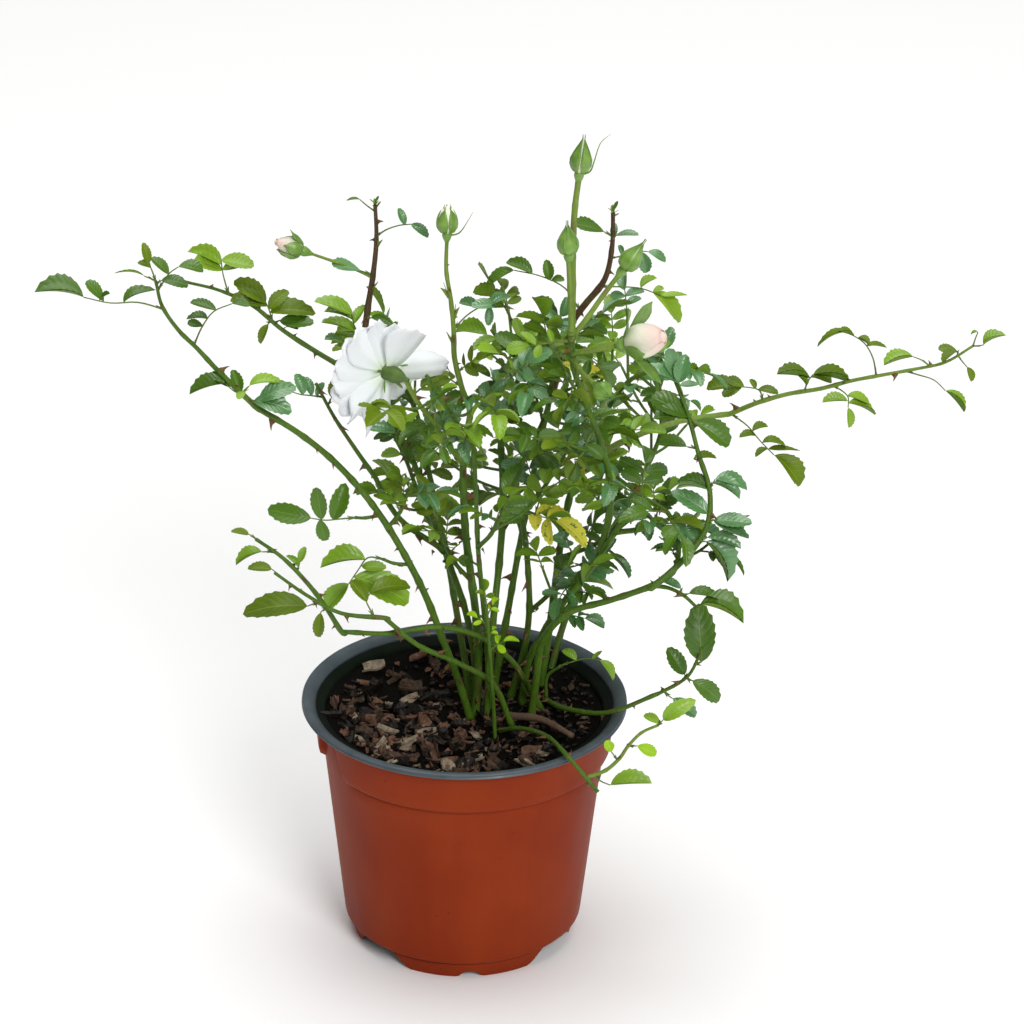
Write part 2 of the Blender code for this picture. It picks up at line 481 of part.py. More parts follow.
def blade(leaflet, thickness, ahead_of_root=0.0):
    """A leaflet or sepal of eight faces, widest a little before its middle."""
    length, ahead, normal = leaflet["length"], leaflet["ahead"], leaflet["normal"]
    root = leaflet["root"] + ahead * (ahead_of_root * MM)
    width = leaflet.get("width", length * LEAFLET_WIDTH)
    widest = leaflet.get("widest", LEAFLET_WIDEST)
    bm = bmesh.new()
    verts = bmesh.ops.create_uvsphere(bm, u_segments=4, v_segments=2, radius=1.0)["verts"]
    side = ahead.cross(normal).normalized()
    flat = side.cross(ahead).normalized()
    for vert in verts:
        x, y, z = vert.co
        reach = (0.5 + 0.5 * y) * length if abs(y) > 0.5 else widest * length
        vert.co = root + (ahead * reach + side * x * width / 2 + flat * z * thickness / 2) * MM
    bmesh.ops.recalc_face_normals(bm, faces=bm.faces)
    return bm


class Crowd:
    """The shapes that already stand in the plant, to keep clear of."""

    def __init__(self):
        self.taken = []

    @staticmethod
    def shape(bm):
        middle = sum((v.co for v in bm.verts), Vector()) / len(bm.verts)
        reach = max((v.co - middle).length for v in bm.verts)
        return BVHTree.FromBMesh(bm), middle, reach

    def add(self, owner, bm):
        self.taken.append((owner, *self.shape(bm)))

    def meets(self, bm, ignore):
        tree, middle, reach = self.shape(bm)
        return any(
            owner not in ignore and (middle - other).length < reach + size and tree.overlap(taken)
            for owner, taken, other, size in self.taken
        )

    def add_stem(self, owner, nodes, width):
        for i in range(len(nodes) - 1):
            bm = prism(nodes[i:i + 2], (max(width), max(width)), KEEP_CLEAR, sides=4)
            self.add(owner, bm)
            bm.free()

    def stem_meets(self, nodes, width, ignore):
        for i in range(len(nodes) - 1):
            bm = prism(nodes[i:i + 2], (max(width), max(width)), KEEP_CLEAR, sides=4)
            met = self.meets(bm, ignore)
            bm.free()
            if met:
                return True
        return False


def in_pot(point):
    """Whether a point would be in the pot, its soil or the ground."""
    out = math.hypot(point.x, point.y) / MM
    height = point.z / MM
    if out < SOIL_CLEAR_RADIUS:
        return height < SOIL_CLEAR_HEIGHT
    return out < POT_CLEAR_RADIUS and height < POT_CLEAR_HEIGHT


def leaflets_of(rib, size, pairs, normal):
    """A leaf's leaflets, as dicts: pairs along its rib (hand 1 and -1) and one at its tip (hand 0)."""
    made = []
    for k in range(pairs):
        share = 0.36 + 0.42 * k / max(pairs - 1, 1) if pairs > 1 else 0.5
        root, ahead = along(rib, share)
        side = ahead.cross(normal).normalized()
        for hand in (1, -1):
            out = (ahead * 0.45 + side * hand * 0.9 - UP * 0.12).normalized()
            made.append(dict(share=share, hand=hand, root=root, ahead=out, normal=normal,
                             length=size * (0.76 + 0.1 * k)))
    root, ahead = along(rib, 1.0)
    made.append(dict(share=1.0, hand=0, root=root, ahead=(ahead - UP * 0.1).normalized(),
                     normal=normal, length=size))
    return made


def spread_seats(leaflets, half):
    """The leaflets with seats on one side kept apart, and those left out that find no room."""
    spread = []
    last = {1: 0.0, -1: 0.0}
    for leaflet in sorted(leaflets[:-1], key=lambda each: each["share"]):
        hand = leaflet["hand"]
        near = [s["share"] for s in spread if abs(s["share"] - leaflet["share"]) < 0.7 * half]
        share = near[0] if near else leaflet["share"]
        share = max(share, last[hand] + half * 1.1, half * 1.1)
        if share + half * 1.05 < 1.0:
            spread.append(dict(leaflet, share=share))
            last[hand] = share + half
    return [*spread, leaflets[-1]]


def leaf_solid(rib, normal, leaflets):
    """One closed leaf: a three-sided rib whose rings open into its leaflets."""
    bm = bmesh.new()
    reach = sum((b - a).length for a, b in zip(rib, rib[1:]))
    half = min(LEAFLET_SEAT / 2 * MM / reach, 0.16)
    leaflets = spread_seats(leaflets, half)
    seats = sorted({leaflet["share"] for leaflet in leaflets if leaflet["hand"]})
    shares = [0.0, 1.0]
    shares += [share + step for share in seats for step in (-half, half)]
    bends = [i / (len(rib) - 1) for i in range(1, len(rib) - 1)]
    shares += [bend for bend in bends if all(abs(bend - seat) > 3 * half for seat in seats)]
    rings = []
    for share in sorted(shares):
        point, ahead = along(rib, share)
        side = ahead.cross(normal).normalized()
        half_width = (RACHIS_WIDTH[0] + (RACHIS_WIDTH[1] - RACHIS_WIDTH[0]) * share) / 2 * MM
        spots = (side * half_width, side.cross(ahead) * half_width, -side * half_width)
        rings.append((share, [bm.verts.new(point + spot) for spot in spots]))
    bm.faces.new(rings[0][1])
    for (share, near), (share_after, far) in zip(rings, rings[1:]):
        bm.faces.new((near[0], near[2], far[2], far[0]))
        for hand, edge in ((1, 0), (-1, 2)):
            seated = [leaflet for leaflet in leaflets if leaflet["hand"] == hand
                      and share < leaflet["share"] < share_after and share_after < 1.0]
            if seated:
                open_leaflet(bm, seated[0], near[edge], near[1], far[edge], far[1])
            else:
                bm.faces.new((near[edge], near[1], far[1], far[edge]))
    last = rings[-1][1]
    left, right, top, tip = leaflet_corners(bm, leaflets[-1])
    for near, far in (((last[0], last[1]), (right, top)), ((last[1], last[2]), (top, left)),
                      ((last[2], last[0]), (left, right))):
        bm.faces.new((*near, far[1], far[0]))
    for pair in ((right, top), (top, left), (left, right)):
        bm.faces.new((*pair, tip))
    bmesh.ops.triangulate(bm, faces=bm.faces)
    bmesh.ops.recalc_face_normals(bm, faces=bm.faces)
    return bm


def leaflet_corners(bm, leaflet):
    """A leaflet's widest corners (against and along its side), its upper side and its tip."""
    root, ahead, length = leaflet["root"], leaflet["ahead"], leaflet["length"]
    side = ahead.cross(leaflet["normal"]).normalized()
    widest = root + ahead * (LEAFLET_WIDEST * length * MM)
    across = side * (LEAFLET_WIDTH * length / 2 * MM)
    thick = side.cross(ahead) * (LEAF_THICKNESS * MM)
    spots = (widest - across, widest + across, widest + thick, root + ahead * (length * MM))
    return [bm.verts.new(spot) for spot in spots]


def open_leaflet(bm, leaflet, low_edge, low_top, high_edge, high_top):
    """Open a rib's side into a leaflet between two of its rings."""
    left, right, top, tip = leaflet_corners(bm, leaflet)
    low, high = (right, left) if leaflet["hand"] == 1 else (left, right)
    bm.faces.new((low_edge, low, top, low_top))
    bm.faces.new((low_top, top, high_top))
    bm.faces.new((high_top, top, high, high_edge))
    bm.faces.new((low_edge, high_edge, high, low))
    bm.faces.new((low, tip, top))
    bm.faces.new((top, tip, high))
    bm.faces.new((low, high, tip))


class Plan:
    """All stems, leaves, buds and blooms, each with the node that it belongs to."""

    def __init__(self):
        self.stems = {}
        self.twigs = []
        self.leaves = []
        self.buds = []
        self.blooms = []
        self.crowd = Crowd()

    def limb(self, name, start, length, width, course):
        nodes = grow(start, length, course, CANE_INTERNODE)
        self.stems[name] = dict(nodes=nodes, width=width)
        self.crowd.add_stem(name, nodes, width)

    def twig(self, owner, stem_id, nodes, width):
        self.twigs.append(dict(owner=owner, nodes=nodes, width=width))
        self.crowd.add_stem(stem_id, nodes, width)

    def placed_leaf(self, owner, rib, face, rows):
        """A leaf given leaflet by leaflet: any that would touch something is made shorter."""
        _, ahead = along(rib, 1.0)
        normal = bearing(270, face)
        own = {taken[0] for taken in self.crowd.taken if taken[0][0] == owner}
        stems = {who for who in own if who[1] in ("stem", "shoot")}
        if self.crowd.stem_meets(rib, RACHIS_WIDTH, own):
            return
        kept = []
        for share, heading, rise, length in rows:
            out = bearing(heading, rise)
            flat = normal - out * normal.dot(out)
            flat = flat.normalized() if flat.length > 0.15 else out.orthogonal().normalized()
            root, ahead = along(rib, share)
            hand = 1 if out.dot(ahead.cross(normal)) > 0 else -1
            for shorter in (1.0, 0.86, 0.74, 0.62):
                leaflet = dict(share=share, hand=0 if share == 1.0 else hand, root=root,
                               ahead=out, normal=flat, length=length * shorter)
                if self.clear(leaflet, stems):
                    kept.append(leaflet)
                    break
        if kept and kept[-1]["hand"] == 0:
            self.keep_leaf(owner, rib, normal, kept, True)

    def leaf(self, owner, parent_id, rib, size, pairs, normal):
        """A leaf, left out where its rib, its tip or most of its leaflets would touch something."""
        if self.crowd.stem_meets(rib, RACHIS_WIDTH, {parent_id}):
            return False
        leaflets = leaflets_of(rib, size, pairs, normal)
        kept = [leaflet for leaflet in leaflets if self.clear(leaflet)]
        if leaflets[-1] not in kept or len(kept) < len(leaflets) * 0.6:
            return False
        self.keep_leaf(owner, rib, normal, kept, False)
        return True

    def keep_leaf(self, owner, rib, normal, leaflets, placed):
        self.leaves.append(dict(owner=owner, rib=rib, normal=normal, leaflets=leaflets,
                                placed=placed))
        leaf_id = (owner, "leaf", len(self.leaves))
        self.crowd.add_stem(leaf_id, rib, RACHIS_WIDTH)
        for leaflet in leaflets:
            bm = blade(leaflet, LEAF_THICKNESS)
            self.crowd.add(leaf_id, bm)
            bm.free()

    def clear(self, leaflet, ignore=()):
        """Whether a leaflet keeps clear of everything that already stands."""
        reach = leaflet["ahead"] * leaflet["length"] * MM
        if in_pot(leaflet["root"] + reach) or in_pot(leaflet["root"] + reach / 2):
            return False
        bm = blade(leaflet, LEAF_THICKNESS + 2 * KEEP_CLEAR, 1.2)
        met = self.crowd.meets(bm, ignore)
        bm.free()
        return not met

    def leafy(self, owner, stem_id, nodes, size, pairs, bare, leaf_to, tip, dice):
        """Leaves at a stem's nodes, each turned on by the golden angle from the last."""
        turn = dice.uniform(0, math.tau)
        last = len(nodes) - 1
        for i in range(1, last + 1):
            share = i / last
            if share < bare or share > leaf_to or (i == last and tip != "leaf"):
                turn += GOLDEN_ANGLE
                dice.random()
                continue
            at, ahead = along(nodes, share)
            grown = size * dice.uniform(0.82, 1.15)
            if i == last:
                self.leaf(owner, stem_id, self.rib(at, ahead, grown, pairs, dice), grown, pairs,
                          self.facing(ahead, dice))
                continue
            turn += GOLDEN_ANGLE
            for again in range(4):
                aside = ahead.orthogonal().normalized()
                aside.rotate(Quaternion(ahead, turn + again * 0.9))
                out = (ahead * 0.5 + aside * 0.9 + UP * 0.25).normalized()
                rib = self.rib(at, out, grown, pairs, dice)
                if self.leaf(owner, stem_id, rib, grown, pairs, self.facing(out, dice)):
                    break

    @staticmethod
    def rib(at, out, size, pairs, dice):
        """A leaf's rib: out from the stem, then arching over a little."""
        length = size * (0.65 + 0.3 * pairs)
        bow = Vector((dice.uniform(-0.1, 0.1), dice.uniform(-0.1, 0.1), -0.18))
        return [at, at + (out + bow).normalized() * length * MM]

    @staticmethod
    def facing(ahead, dice):
        """The way a leaf's upper side faces: up, tilted a little."""
        lean = Vector((dice.uniform(-0.35, 0.35), dice.uniform(-0.45, 0.25), 1.0))
        normal = lean - ahead * lean.dot(ahead)
        return normal.normalized() if normal.length > 0.2 else ahead.orthogonal().normalized()

    def side_twigs(self, owner, nodes, count, size, pairs, dice):
        """Twigs off a spray's stem, by the seeded rule, with leaves of their own."""
        for k in range(count):
            share = 0.2 + 0.65 * (k + dice.random() * 0.6) / count
            at, ahead = along(nodes, share)
            for again in range(4):
                aside = ahead.orthogonal().normalized()
                aside.rotate(Quaternion(ahead, dice.uniform(0, math.tau)))
                out = (ahead * 0.5 + aside * 0.95).normalized()
                length = size * dice.uniform(1.8, 2.6)
                course = ((out + UP * 0.1).normalized(), (out + UP * 0.45).normalized())
                twig = [at, at + course[0] * length * 0.5 * MM]
                twig.append(twig[-1] + course[1] * length * 0.5 * MM)
                if not self.crowd.stem_meets(twig[1:], TWIG_WIDTH, {(owner, "stem")}):
                    twig_id = (owner, "twig", len(self.twigs))
                    self.twig(owner, twig_id, twig, TWIG_WIDTH)
                    self.leafy(owner, twig_id, twig, size * 0.95, pairs, 0.3, 1.0, "leaf", dice)
                    break

    def tip(self, owner, nodes, kind, width):
        at, ahead = along(nodes, 1.0)
        if kind == "bloom":
            self.blooms.append(dict(owner=owner, at=at, ahead=ahead))
        elif kind in BUDS:
            self.buds.append(dict(owner=owner, at=at, ahead=ahead, kind=kind, width=width))


def plan_plant():
    """Grow the canes and boughs first, then every spray's stems, then the leaves."""
    plan = Plan()
    for name, (foot, length, width, course) in CANES.items():
        start = Vector((foot[0] * MM, foot[1] * MM, (SOIL_TOP + GAP) * MM))
        plan.limb(name, start, length, width, course)
    for name, (cane, share, length, width, course) in BOUGHS.items():
        start = bud_off(plan.stems[cane], share, bearing(*course[0]), width[0])
        plan.limb(name, start, length, width, course)
    grown = []
    for name, s in SPRAYS.items():
        first = bearing(*s["course"][0])
        if isinstance(s["on"], tuple):
            start = Vector((s["on"][0] * MM, s["on"][1] * MM, (SOIL_TOP + GAP) * MM))
        elif s["at"] == 1.0:
            start = follow_on(plan.stems[s["on"]], first, s["width"][0])
        else:
            start = bud_off(plan.stems[s["on"]], s["at"], first, s["width"][0])
        nodes = grow(start, s["length"], s["course"], s["internode"])
        plan.stems[name] = dict(nodes=nodes, width=s["width"])
        plan.crowd.add_stem((name, "stem"), nodes, s["width"])
        for k, side in enumerate(s["shoots"]):
            at, _ = along(nodes, side["at"])
            reach = max(side["length"] / 3, 6) if side["frond"] else side["internode"]
            side_nodes = grow(at, side["length"], side["course"], reach)
            grown.append((name, k, side, side_nodes))
            if not side["frond"]:
                plan.twig(name, (name, "shoot", k), side_nodes, side["width"])
    for name, k, side, nodes in grown:
        if not side["frond"]:
            plan.tip(name, nodes, side["tip"], side["width"][1])
    for name, s in SPRAYS.items():
        plan.tip(name, plan.stems[name]["nodes"], s["tip"], s["width"][1])
    reserve_blossom(plan)
    for name, k, side, nodes in grown:
        dice = random.Random(1000 + 37 * k + sum(map(ord, name)))
        if side["frond"]:
            plan.placed_leaf(name, nodes, side["face"], side["leaflets"])
        elif side["bare"] < 1.0:
            plan.leafy(name, (name, "shoot", k), nodes, side["leaf"], side["pairs"],
                       side["bare"], 1.0, side["tip"], dice)
    for index, name in enumerate(SPRAYS):
        grow_by_rule(plan, name, SEEDS.get(name, 11 + index))
    return plan


def grow_by_rule(plan, name, seed):
    """A spray's twigs and leaves, as its seed throws them."""
    s = SPRAYS[name]
    dice = random.Random(seed)
    nodes = plan.stems[name]["nodes"]
    plan.side_twigs(name, nodes, s["twigs"], s["leaf"], s["pairs"], dice)
    plan.leafy(name, (name, "stem"), nodes, s["leaf"], s["pairs"], s["bare"], s["leaf_to"],
               s["tip"], dice)


# --- Blossom -----------------------------------------------------------------------------------

def egg(at, ahead, length, width, segments=6, rings=4, point=0.55):
    """A bud or hip: a sphere drawn out along its stem and pointed at its far end."""
    bm = bmesh.new()
    verts = bmesh.ops.create_uvsphere(bm, u_segments=segments, v_segments=rings, radius=1.0)["verts"]
    turn = ahead.to_track_quat("Z", "Y")
    for vert in verts:
        x, y, z = vert.co
        narrow = 1 - point * max(z, 0) ** 1.5
        local = Vector((x * width / 2 * narrow, y * width / 2 * narrow, (z + 1) * length / 2))
        vert.co = at + (turn @ local) * MM
    bmesh.ops.recalc_face_normals(bm, faces=bm.faces)
    return bm


def bud_pieces(bud):
    """The hip, the bud and its sepals, which on a closed bud lie along it."""
    length, width, sepal, open_share = BUDS[bud["kind"]]
    at, ahead = bud["at"], bud["ahead"]
    pieces = [egg(at - ahead * 2.0 * MM, ahead, 9.0, max(width * 0.5, 5.0), 5, 3, 0.0)]
    seat = at + ahead * 4.0 * MM
    pieces.append(egg(seat, ahead, length, width))
    for k in range(5 if open_share else 0):
        around = ahead.orthogonal().normalized()
        around.rotate(Quaternion(ahead, math.tau * k / 5))
        lift = (ahead * (1.0 - 0.45 * open_share) + around * (0.35 + 0.6 * open_share)).normalized()
        root = seat + (ahead * 1.2 + around * width * 0.18) * MM
        leaflet = dict(root=root, ahead=lift, normal=around, length=sepal, width=4.6)
        pieces.append(blade(leaflet, 1.2))
    return pieces


def bloom_pieces(bloom):
    """The hip, the packed heart and the rings of petals of the open bloom."""
    at = bloom["at"]
    face = bearing(BLOOM_HEADING, BLOOM_RISE)
    pieces = [egg(at - face * 3.0 * MM, face, 12.0, 9.0, point=0.0)]
    seat = at + face * 6.5 * MM
    pieces.append(egg(seat, face, 20.0, 24.0, segments=8, point=0.1))
    for count, length, width, lift, shift in BLOOM_PETALS:
        raised = math.radians(lift)
        for k in range(count):
            around = face.orthogonal().normalized()
            around.rotate(Quaternion(face, math.tau * (k + shift) / count))
            out = around * math.cos(raised) + face * math.sin(raised)
            normal = face * math.cos(raised) - around * math.sin(raised)
            normal.rotate(Quaternion(out, PETAL_TWIST))
            root = seat + face * (3.0 + 4.0 * shift) * MM
            petal = dict(root=root, ahead=out, normal=normal, length=length, width=width,
                         widest=PETAL_WIDEST)
            pieces.append(blade(petal, 1.6))
    return pieces


def reserve_blossom(plan):
    """Leaves keep clear of every bud and bloom."""
    for kind, made in ((bud_pieces, plan.buds), (bloom_pieces, plan.blooms)):
        for flower in made:
            for bm in kind(flower):
                plan.crowd.add((flower["owner"], "blossom"), bm)
                bm.free()


# --- Materials and objects ---------------------------------------------------------------------

def material(name, colour, roughness):
    made = bpy.data.materials.new(name)
    made.use_nodes = True
    shader = made.node_tree.nodes["Principled BSDF"]
    shader.inputs["Base Color"].default_value = (*colour, 1.0)
    shader.inputs["Roughness"].default_value = roughness
    shader.inputs["Metallic"].default_value = 0.0
    return made


def make_object(name, bm, finish, folder=None):
    mesh = bpy.data.meshes.new(name)
    bm.to_mesh(mesh)
    bm.free()
    made = bpy.data.objects.new(name, mesh)
    (folder or bpy.context.scene.collection).objects.link(made)
    if finish:
        mesh.materials.append(finish)
    return made


def closed(mesh):
    """Whether every edge of a mesh has exactly two faces."""
    bm = bmesh.new()
    bm.from_mesh(mesh)
    whole = bool(bm.faces) and all(len(edge.link_faces) == 2 for edge in bm.edges)
    bm.free()
    return whole


def fuse(name, stem_bm, pieces, finish):
    """Join a spray's stem, twigs, leaves and blossom into one closed solid."""
    base = make_object(name, stem_bm, finish)
    folder = bpy.data.collections.new(name + "_pieces")
    bpy.context.scene.collection.children.link(folder)
    for piece in pieces:
        make_object(name + "_piece", piece, finish, folder)
    join = base.modifiers.new("join", "BOOLEAN")
    join.operation = "UNION"
    join.operand_type = "COLLECTION"
    join.collection = folder
    for solver in ("EXACT", "MANIFOLD"):
        join.solver = solver
        bpy.context.view_layer.update()
        evaluated = base.evaluated_get(bpy.context.evaluated_depsgraph_get())
        joined = bpy.data.meshes.new_from_object(evaluated)
        if closed(joined):
            break
    base.modifiers.clear()
    base.data = joined
    joined.name = name
    for piece in list(folder.objects):
        bpy.data.objects.remove(piece)
    bpy.data.collections.remove(folder)
    keep_whole(joined)
    return base


def keep_whole(mesh):
    """Fill any hollow that the union sealed and drop any loose scrap: the largest shell stays."""
    bm = bmesh.new()
    bm.from_mesh(mesh)
    left = set(bm.faces)
    shells = []
    while left:
        shell, front = set(), [left.pop()]
        while front:
            face = front.pop()
            shell.add(face)
            for edge in face.edges:
                for other in edge.link_faces:
                    if other in left:
                        left.discard(other)
                        front.append(other)
        shells.append(shell)
    if len(shells) > 1:
        whole = max(shells, key=len)
        scrap = [face for shell in shells if shell is not whole for face in shell]
        bmesh.ops.delete(bm, geom=scrap, context="FACES")
        bmesh.ops.delete(bm, geom=[v for v in bm.verts if not v.link_faces], context="VERTS")
        bm.to_mesh(mesh)
    bm.free()


# --- The pot and its soil ----------------------------------------------------------------------

def pot_profile():
    """The pot's section from the middle of its underside round to the middle of its floor."""
    flare = WALL_TOP_RADIUS + COLLAR_FLARE
    floor_top = FLOOR_UNDERSIDE + WALL
    inner = RIM_RADIUS - RIM_WIDTH
    return [
        (0.0, 0.0),
        (CENTRE_PAD_RADIUS, 0.0),
        (CENTRE_PAD_RADIUS + 3.0, FLOOR_UNDERSIDE),
        (FOOT_RADIUS - 4.0, FLOOR_UNDERSIDE),
        (FOOT_RADIUS - 3.0, 0.0),
        (FOOT_RADIUS, 0.0),
        (FOOT_RADIUS + 0.4, FOOT_HEIGHT),
        (FOOT_RADIUS + FOOT_STEP + 0.2, FOOT_HEIGHT + 1.0),
        (WALL_TOP_RADIUS, COLLAR_LOW),
        (WALL_TOP_RADIUS + COLLAR_STEP, COLLAR_LOW + 1.5),
        (flare + COLLAR_STEP, POT_HEIGHT - RIM_DEPTH),
        (RIM_RADIUS, POT_HEIGHT - RIM_DEPTH),
        (RIM_RADIUS, POT_HEIGHT - 1.0),
        (RIM_RADIUS - 1.2, POT_HEIGHT),
        (inner, POT_HEIGHT - 0.6),
        (WALL_TOP_RADIUS + 0.6, COLLAR_HIGH - 1.0),
        (WALL_TOP_RADIUS - WALL, COLLAR_LOW - 1.0),
        (FOOT_RADIUS + 0.2, floor_top + 4.0),
        (FOOT_RADIUS - 1.0, floor_top),
        (0.0, floor_top),
    ]


def from_front(x, y):
    """Degrees round the pot from its front, clockwise seen from below."""
    return math.degrees(math.atan2(x, -y))


def pot_shell():
    bm = bmesh.new()
    ring = [bm.verts.new((0.0, -r * MM, z * MM)) for r, z in pot_profile()]
    edges = [bm.edges.new(pair) for pair in zip(ring, ring[1:])]
    bmesh.ops.spin(bm, geom=ring + edges, cent=(0, 0, 0), axis=(0, 0, 1), angle=math.tau,
                   steps=POT_SEGMENTS, use_merge=True)
    bmesh.ops.remove_doubles(bm, verts=bm.verts, dist=0.00001)
    open_collar(bm)
    bmesh.ops.recalc_face_normals(bm, faces=bm.faces)
    return bm


def open_collar(bm):
    """At its gaps the collar's lower edge runs up to just under the lip."""
    low, top = (COLLAR_LOW + 1.5) * MM, (COLLAR_HIGH - 1.0) * MM
    for vert in bm.verts:
        out = math.hypot(vert.co.x, vert.co.y) / MM
        height = vert.co.z / MM
        at_edge = COLLAR_LOW - 0.5 < height < COLLAR_LOW + 2.0 and out > WALL_TOP_RADIUS - 0.5
        if not at_edge:
            continue
        turn = from_front(vert.co.x, vert.co.y)
        if any(abs((turn - gap + 180) % 360 - 180) < COLLAR_GAP_HALF_WIDTH for gap in COLLAR_GAPS):
            raised = top if out > WALL_TOP_RADIUS + 1 else top - 1.5 * MM
            grow_out = 1 + 0.0011 * (raised - vert.co.z) / MM
            vert.co = Vector((vert.co.x * grow_out, vert.co.y * grow_out, raised))


def foot_cutter(angle, width, height, finish):
    """An arch through the foot ring: a squashed cylinder along the radius."""
    bm = bmesh.new()
    bmesh.ops.create_cone(bm, cap_ends=True, segments=12, radius1=0.5, radius2=0.5, depth=1.0)
    turn = math.radians(angle + POT_TURN)
    inner, outer = (FOOT_RADIUS - 7.0) * MM, (FOOT_RADIUS + 9.0) * MM
    place = (
        Matrix.Rotation(turn, 4, "Z")
        @ Matrix.Translation((0, -(inner + outer) / 2, 0))
        @ Matrix.Rotation(math.pi / 2, 4, "X")
        @ Matrix.Diagonal((width * MM, 2 * height * MM, outer - inner, 1))
    )
    bmesh.ops.transform(bm, matrix=place, verts=bm.verts)
    cutter = make_object("foot_cutter", bm, finish)
    cutter.hide_render = True
    cutter.display_type = "WIRE"
    return cutter


def make_pot(finish):
    pot = make_object("pot", pot_shell(), finish)
    cuts = [(a, ARCH_WIDTH, ARCH_HEIGHT) for a in ARCH_ANGLES]
    cuts += [(a, NOTCH_WIDTH, NOTCH_HEIGHT) for a in NOTCH_ANGLES]
    for angle, width, height in cuts:
        cut = pot.modifiers.new("foot_arch", "BOOLEAN")
        cut.operation = "DIFFERENCE"
        cut.solver = "EXACT"
        cut.object = foot_cutter(angle, width, height, finish)
    return pot


def make_soil(finish):
    """The potting mix: it fills the pot up to just below the collar's top."""
    low = FLOOR_UNDERSIDE + WALL + GAP
    bm = bmesh.new()
    top_radius = WALL_TOP_RADIUS - SOIL_CLEARANCE
    bottom_radius = FOOT_RADIUS - 2.4
    bmesh.ops.create_cone(bm, cap_ends=True, segments=SOIL_SEGMENTS, radius1=bottom_radius * MM,
                          radius2=top_radius * MM, depth=(SOIL_TOP - low) * MM)
    bmesh.ops.translate(bm, verts=bm.verts, vec=(0, 0, (SOIL_TOP + low) / 2 * MM))
    return make_object("soil", bm, finish)


# --- The whole plant ---------------------------------------------------------------------------

def main():
    for old in list(bpy.data.objects):
        bpy.data.objects.remove(old)
    terracotta = material("pot_plastic", (0.24, 0.035, 0.010), 0.45)
    compost = material("potting_mix", (0.020, 0.014, 0.010), 0.95)
    bark = material("green_bark", (0.10, 0.20, 0.035), 0.5)
    dead = material("dead_wood", (0.16, 0.08, 0.05), 0.8)
    foliage = material("foliage", (0.055, 0.14, 0.025), 0.45)

    make_pot(terracotta)
    make_soil(compost)
    plan = plan_plant()
    for name in [*CANES, *BOUGHS]:
        stem = plan.stems[name]
        finish = dead if name == "dead_stub" else bark
        from_soil = name in CANES
        limb = prism(stem["nodes"], stem["width"], sides=CANE_SIDES, level_foot=from_soil)
        make_object(name, limb, finish)
    for name in SPRAYS:
        stem = plan.stems[name]
        pieces = [prism(t["nodes"], t["width"]) for t in plan.twigs if t["owner"] == name]
        pieces += [leaf_solid(leaf["rib"], leaf["normal"], leaf["leaflets"])
                   for leaf in plan.leaves if leaf["owner"] == name]
        for bud in plan.buds:
            pieces += bud_pieces(bud) if bud["owner"] == name else []
        for bloom in plan.blooms:
            pieces += bloom_pieces(bloom) if bloom["owner"] == name else []
        from_soil = isinstance(SPRAYS[name]["on"], tuple)
        main_stem = prism(stem["nodes"], stem["width"], sides=4, level_foot=from_soil)
        fuse(name, main_stem, pieces, foliage)


main()
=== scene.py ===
"""A patio rose in its nursery pot: bark, thorns, leaves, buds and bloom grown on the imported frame.

Lengths in the tables are in millimetres; the model is in metres.  +Z is up, -Y is the front.
A heading is measured round +Z: 0 is right (+X), 90 back (+Y).  A rise of 90 is straight up.
"""

import random
from math import atan2, cos, degrees, exp, hypot, pi, radians, sin, sqrt, tau

import bmesh
import bpy
from mathutils import Matrix, Quaternion, Vector, noise
from mathutils.bvhtree import BVHTree


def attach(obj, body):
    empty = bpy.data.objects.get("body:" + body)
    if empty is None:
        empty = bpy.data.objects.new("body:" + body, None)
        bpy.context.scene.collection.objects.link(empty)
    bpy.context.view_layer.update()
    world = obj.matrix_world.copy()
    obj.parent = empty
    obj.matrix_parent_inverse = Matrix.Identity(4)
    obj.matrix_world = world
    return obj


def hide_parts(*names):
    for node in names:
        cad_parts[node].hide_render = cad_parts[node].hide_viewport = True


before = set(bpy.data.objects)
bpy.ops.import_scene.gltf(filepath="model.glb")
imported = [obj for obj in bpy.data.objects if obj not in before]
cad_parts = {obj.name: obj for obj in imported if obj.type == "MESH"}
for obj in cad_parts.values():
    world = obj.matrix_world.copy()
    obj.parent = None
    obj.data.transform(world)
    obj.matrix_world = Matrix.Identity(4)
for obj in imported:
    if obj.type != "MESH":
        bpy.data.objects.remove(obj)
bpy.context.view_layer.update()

MM = 0.001
UP = Vector((0, 0, 1))
GAP = 0.3  # clearance between neighbouring solids

POT_HEIGHT = 150.0
RIM_RADIUS = 95.0
FOOT_RADIUS = 67.5
FOOT_HEIGHT = 10.0
FOOT_STEP = 2.3
POT_FLOOR = 12.0
WALL_TOP_RADIUS = 82.0  # just under the collar
COLLAR_LOW = 120.0
COLLAR_HIGH = 142.0
COLLAR_STEP = 2.0
COLLAR_FLARE = 3.4
COLLAR_GAPS = (-66.0, 114.0)  # degrees round from the front
COLLAR_GAP_HALF_WIDTH = 10.0
POT_TURN = 4.0
ARCH_ANGLES = (-50.0, 50.0, 130.0, -130.0)
ARCH_HEIGHT = 11.0
NOTCH_ANGLES = (0.0, 180.0)
NOTCH_HEIGHT = 3.6
SOIL_TOP = 135.0

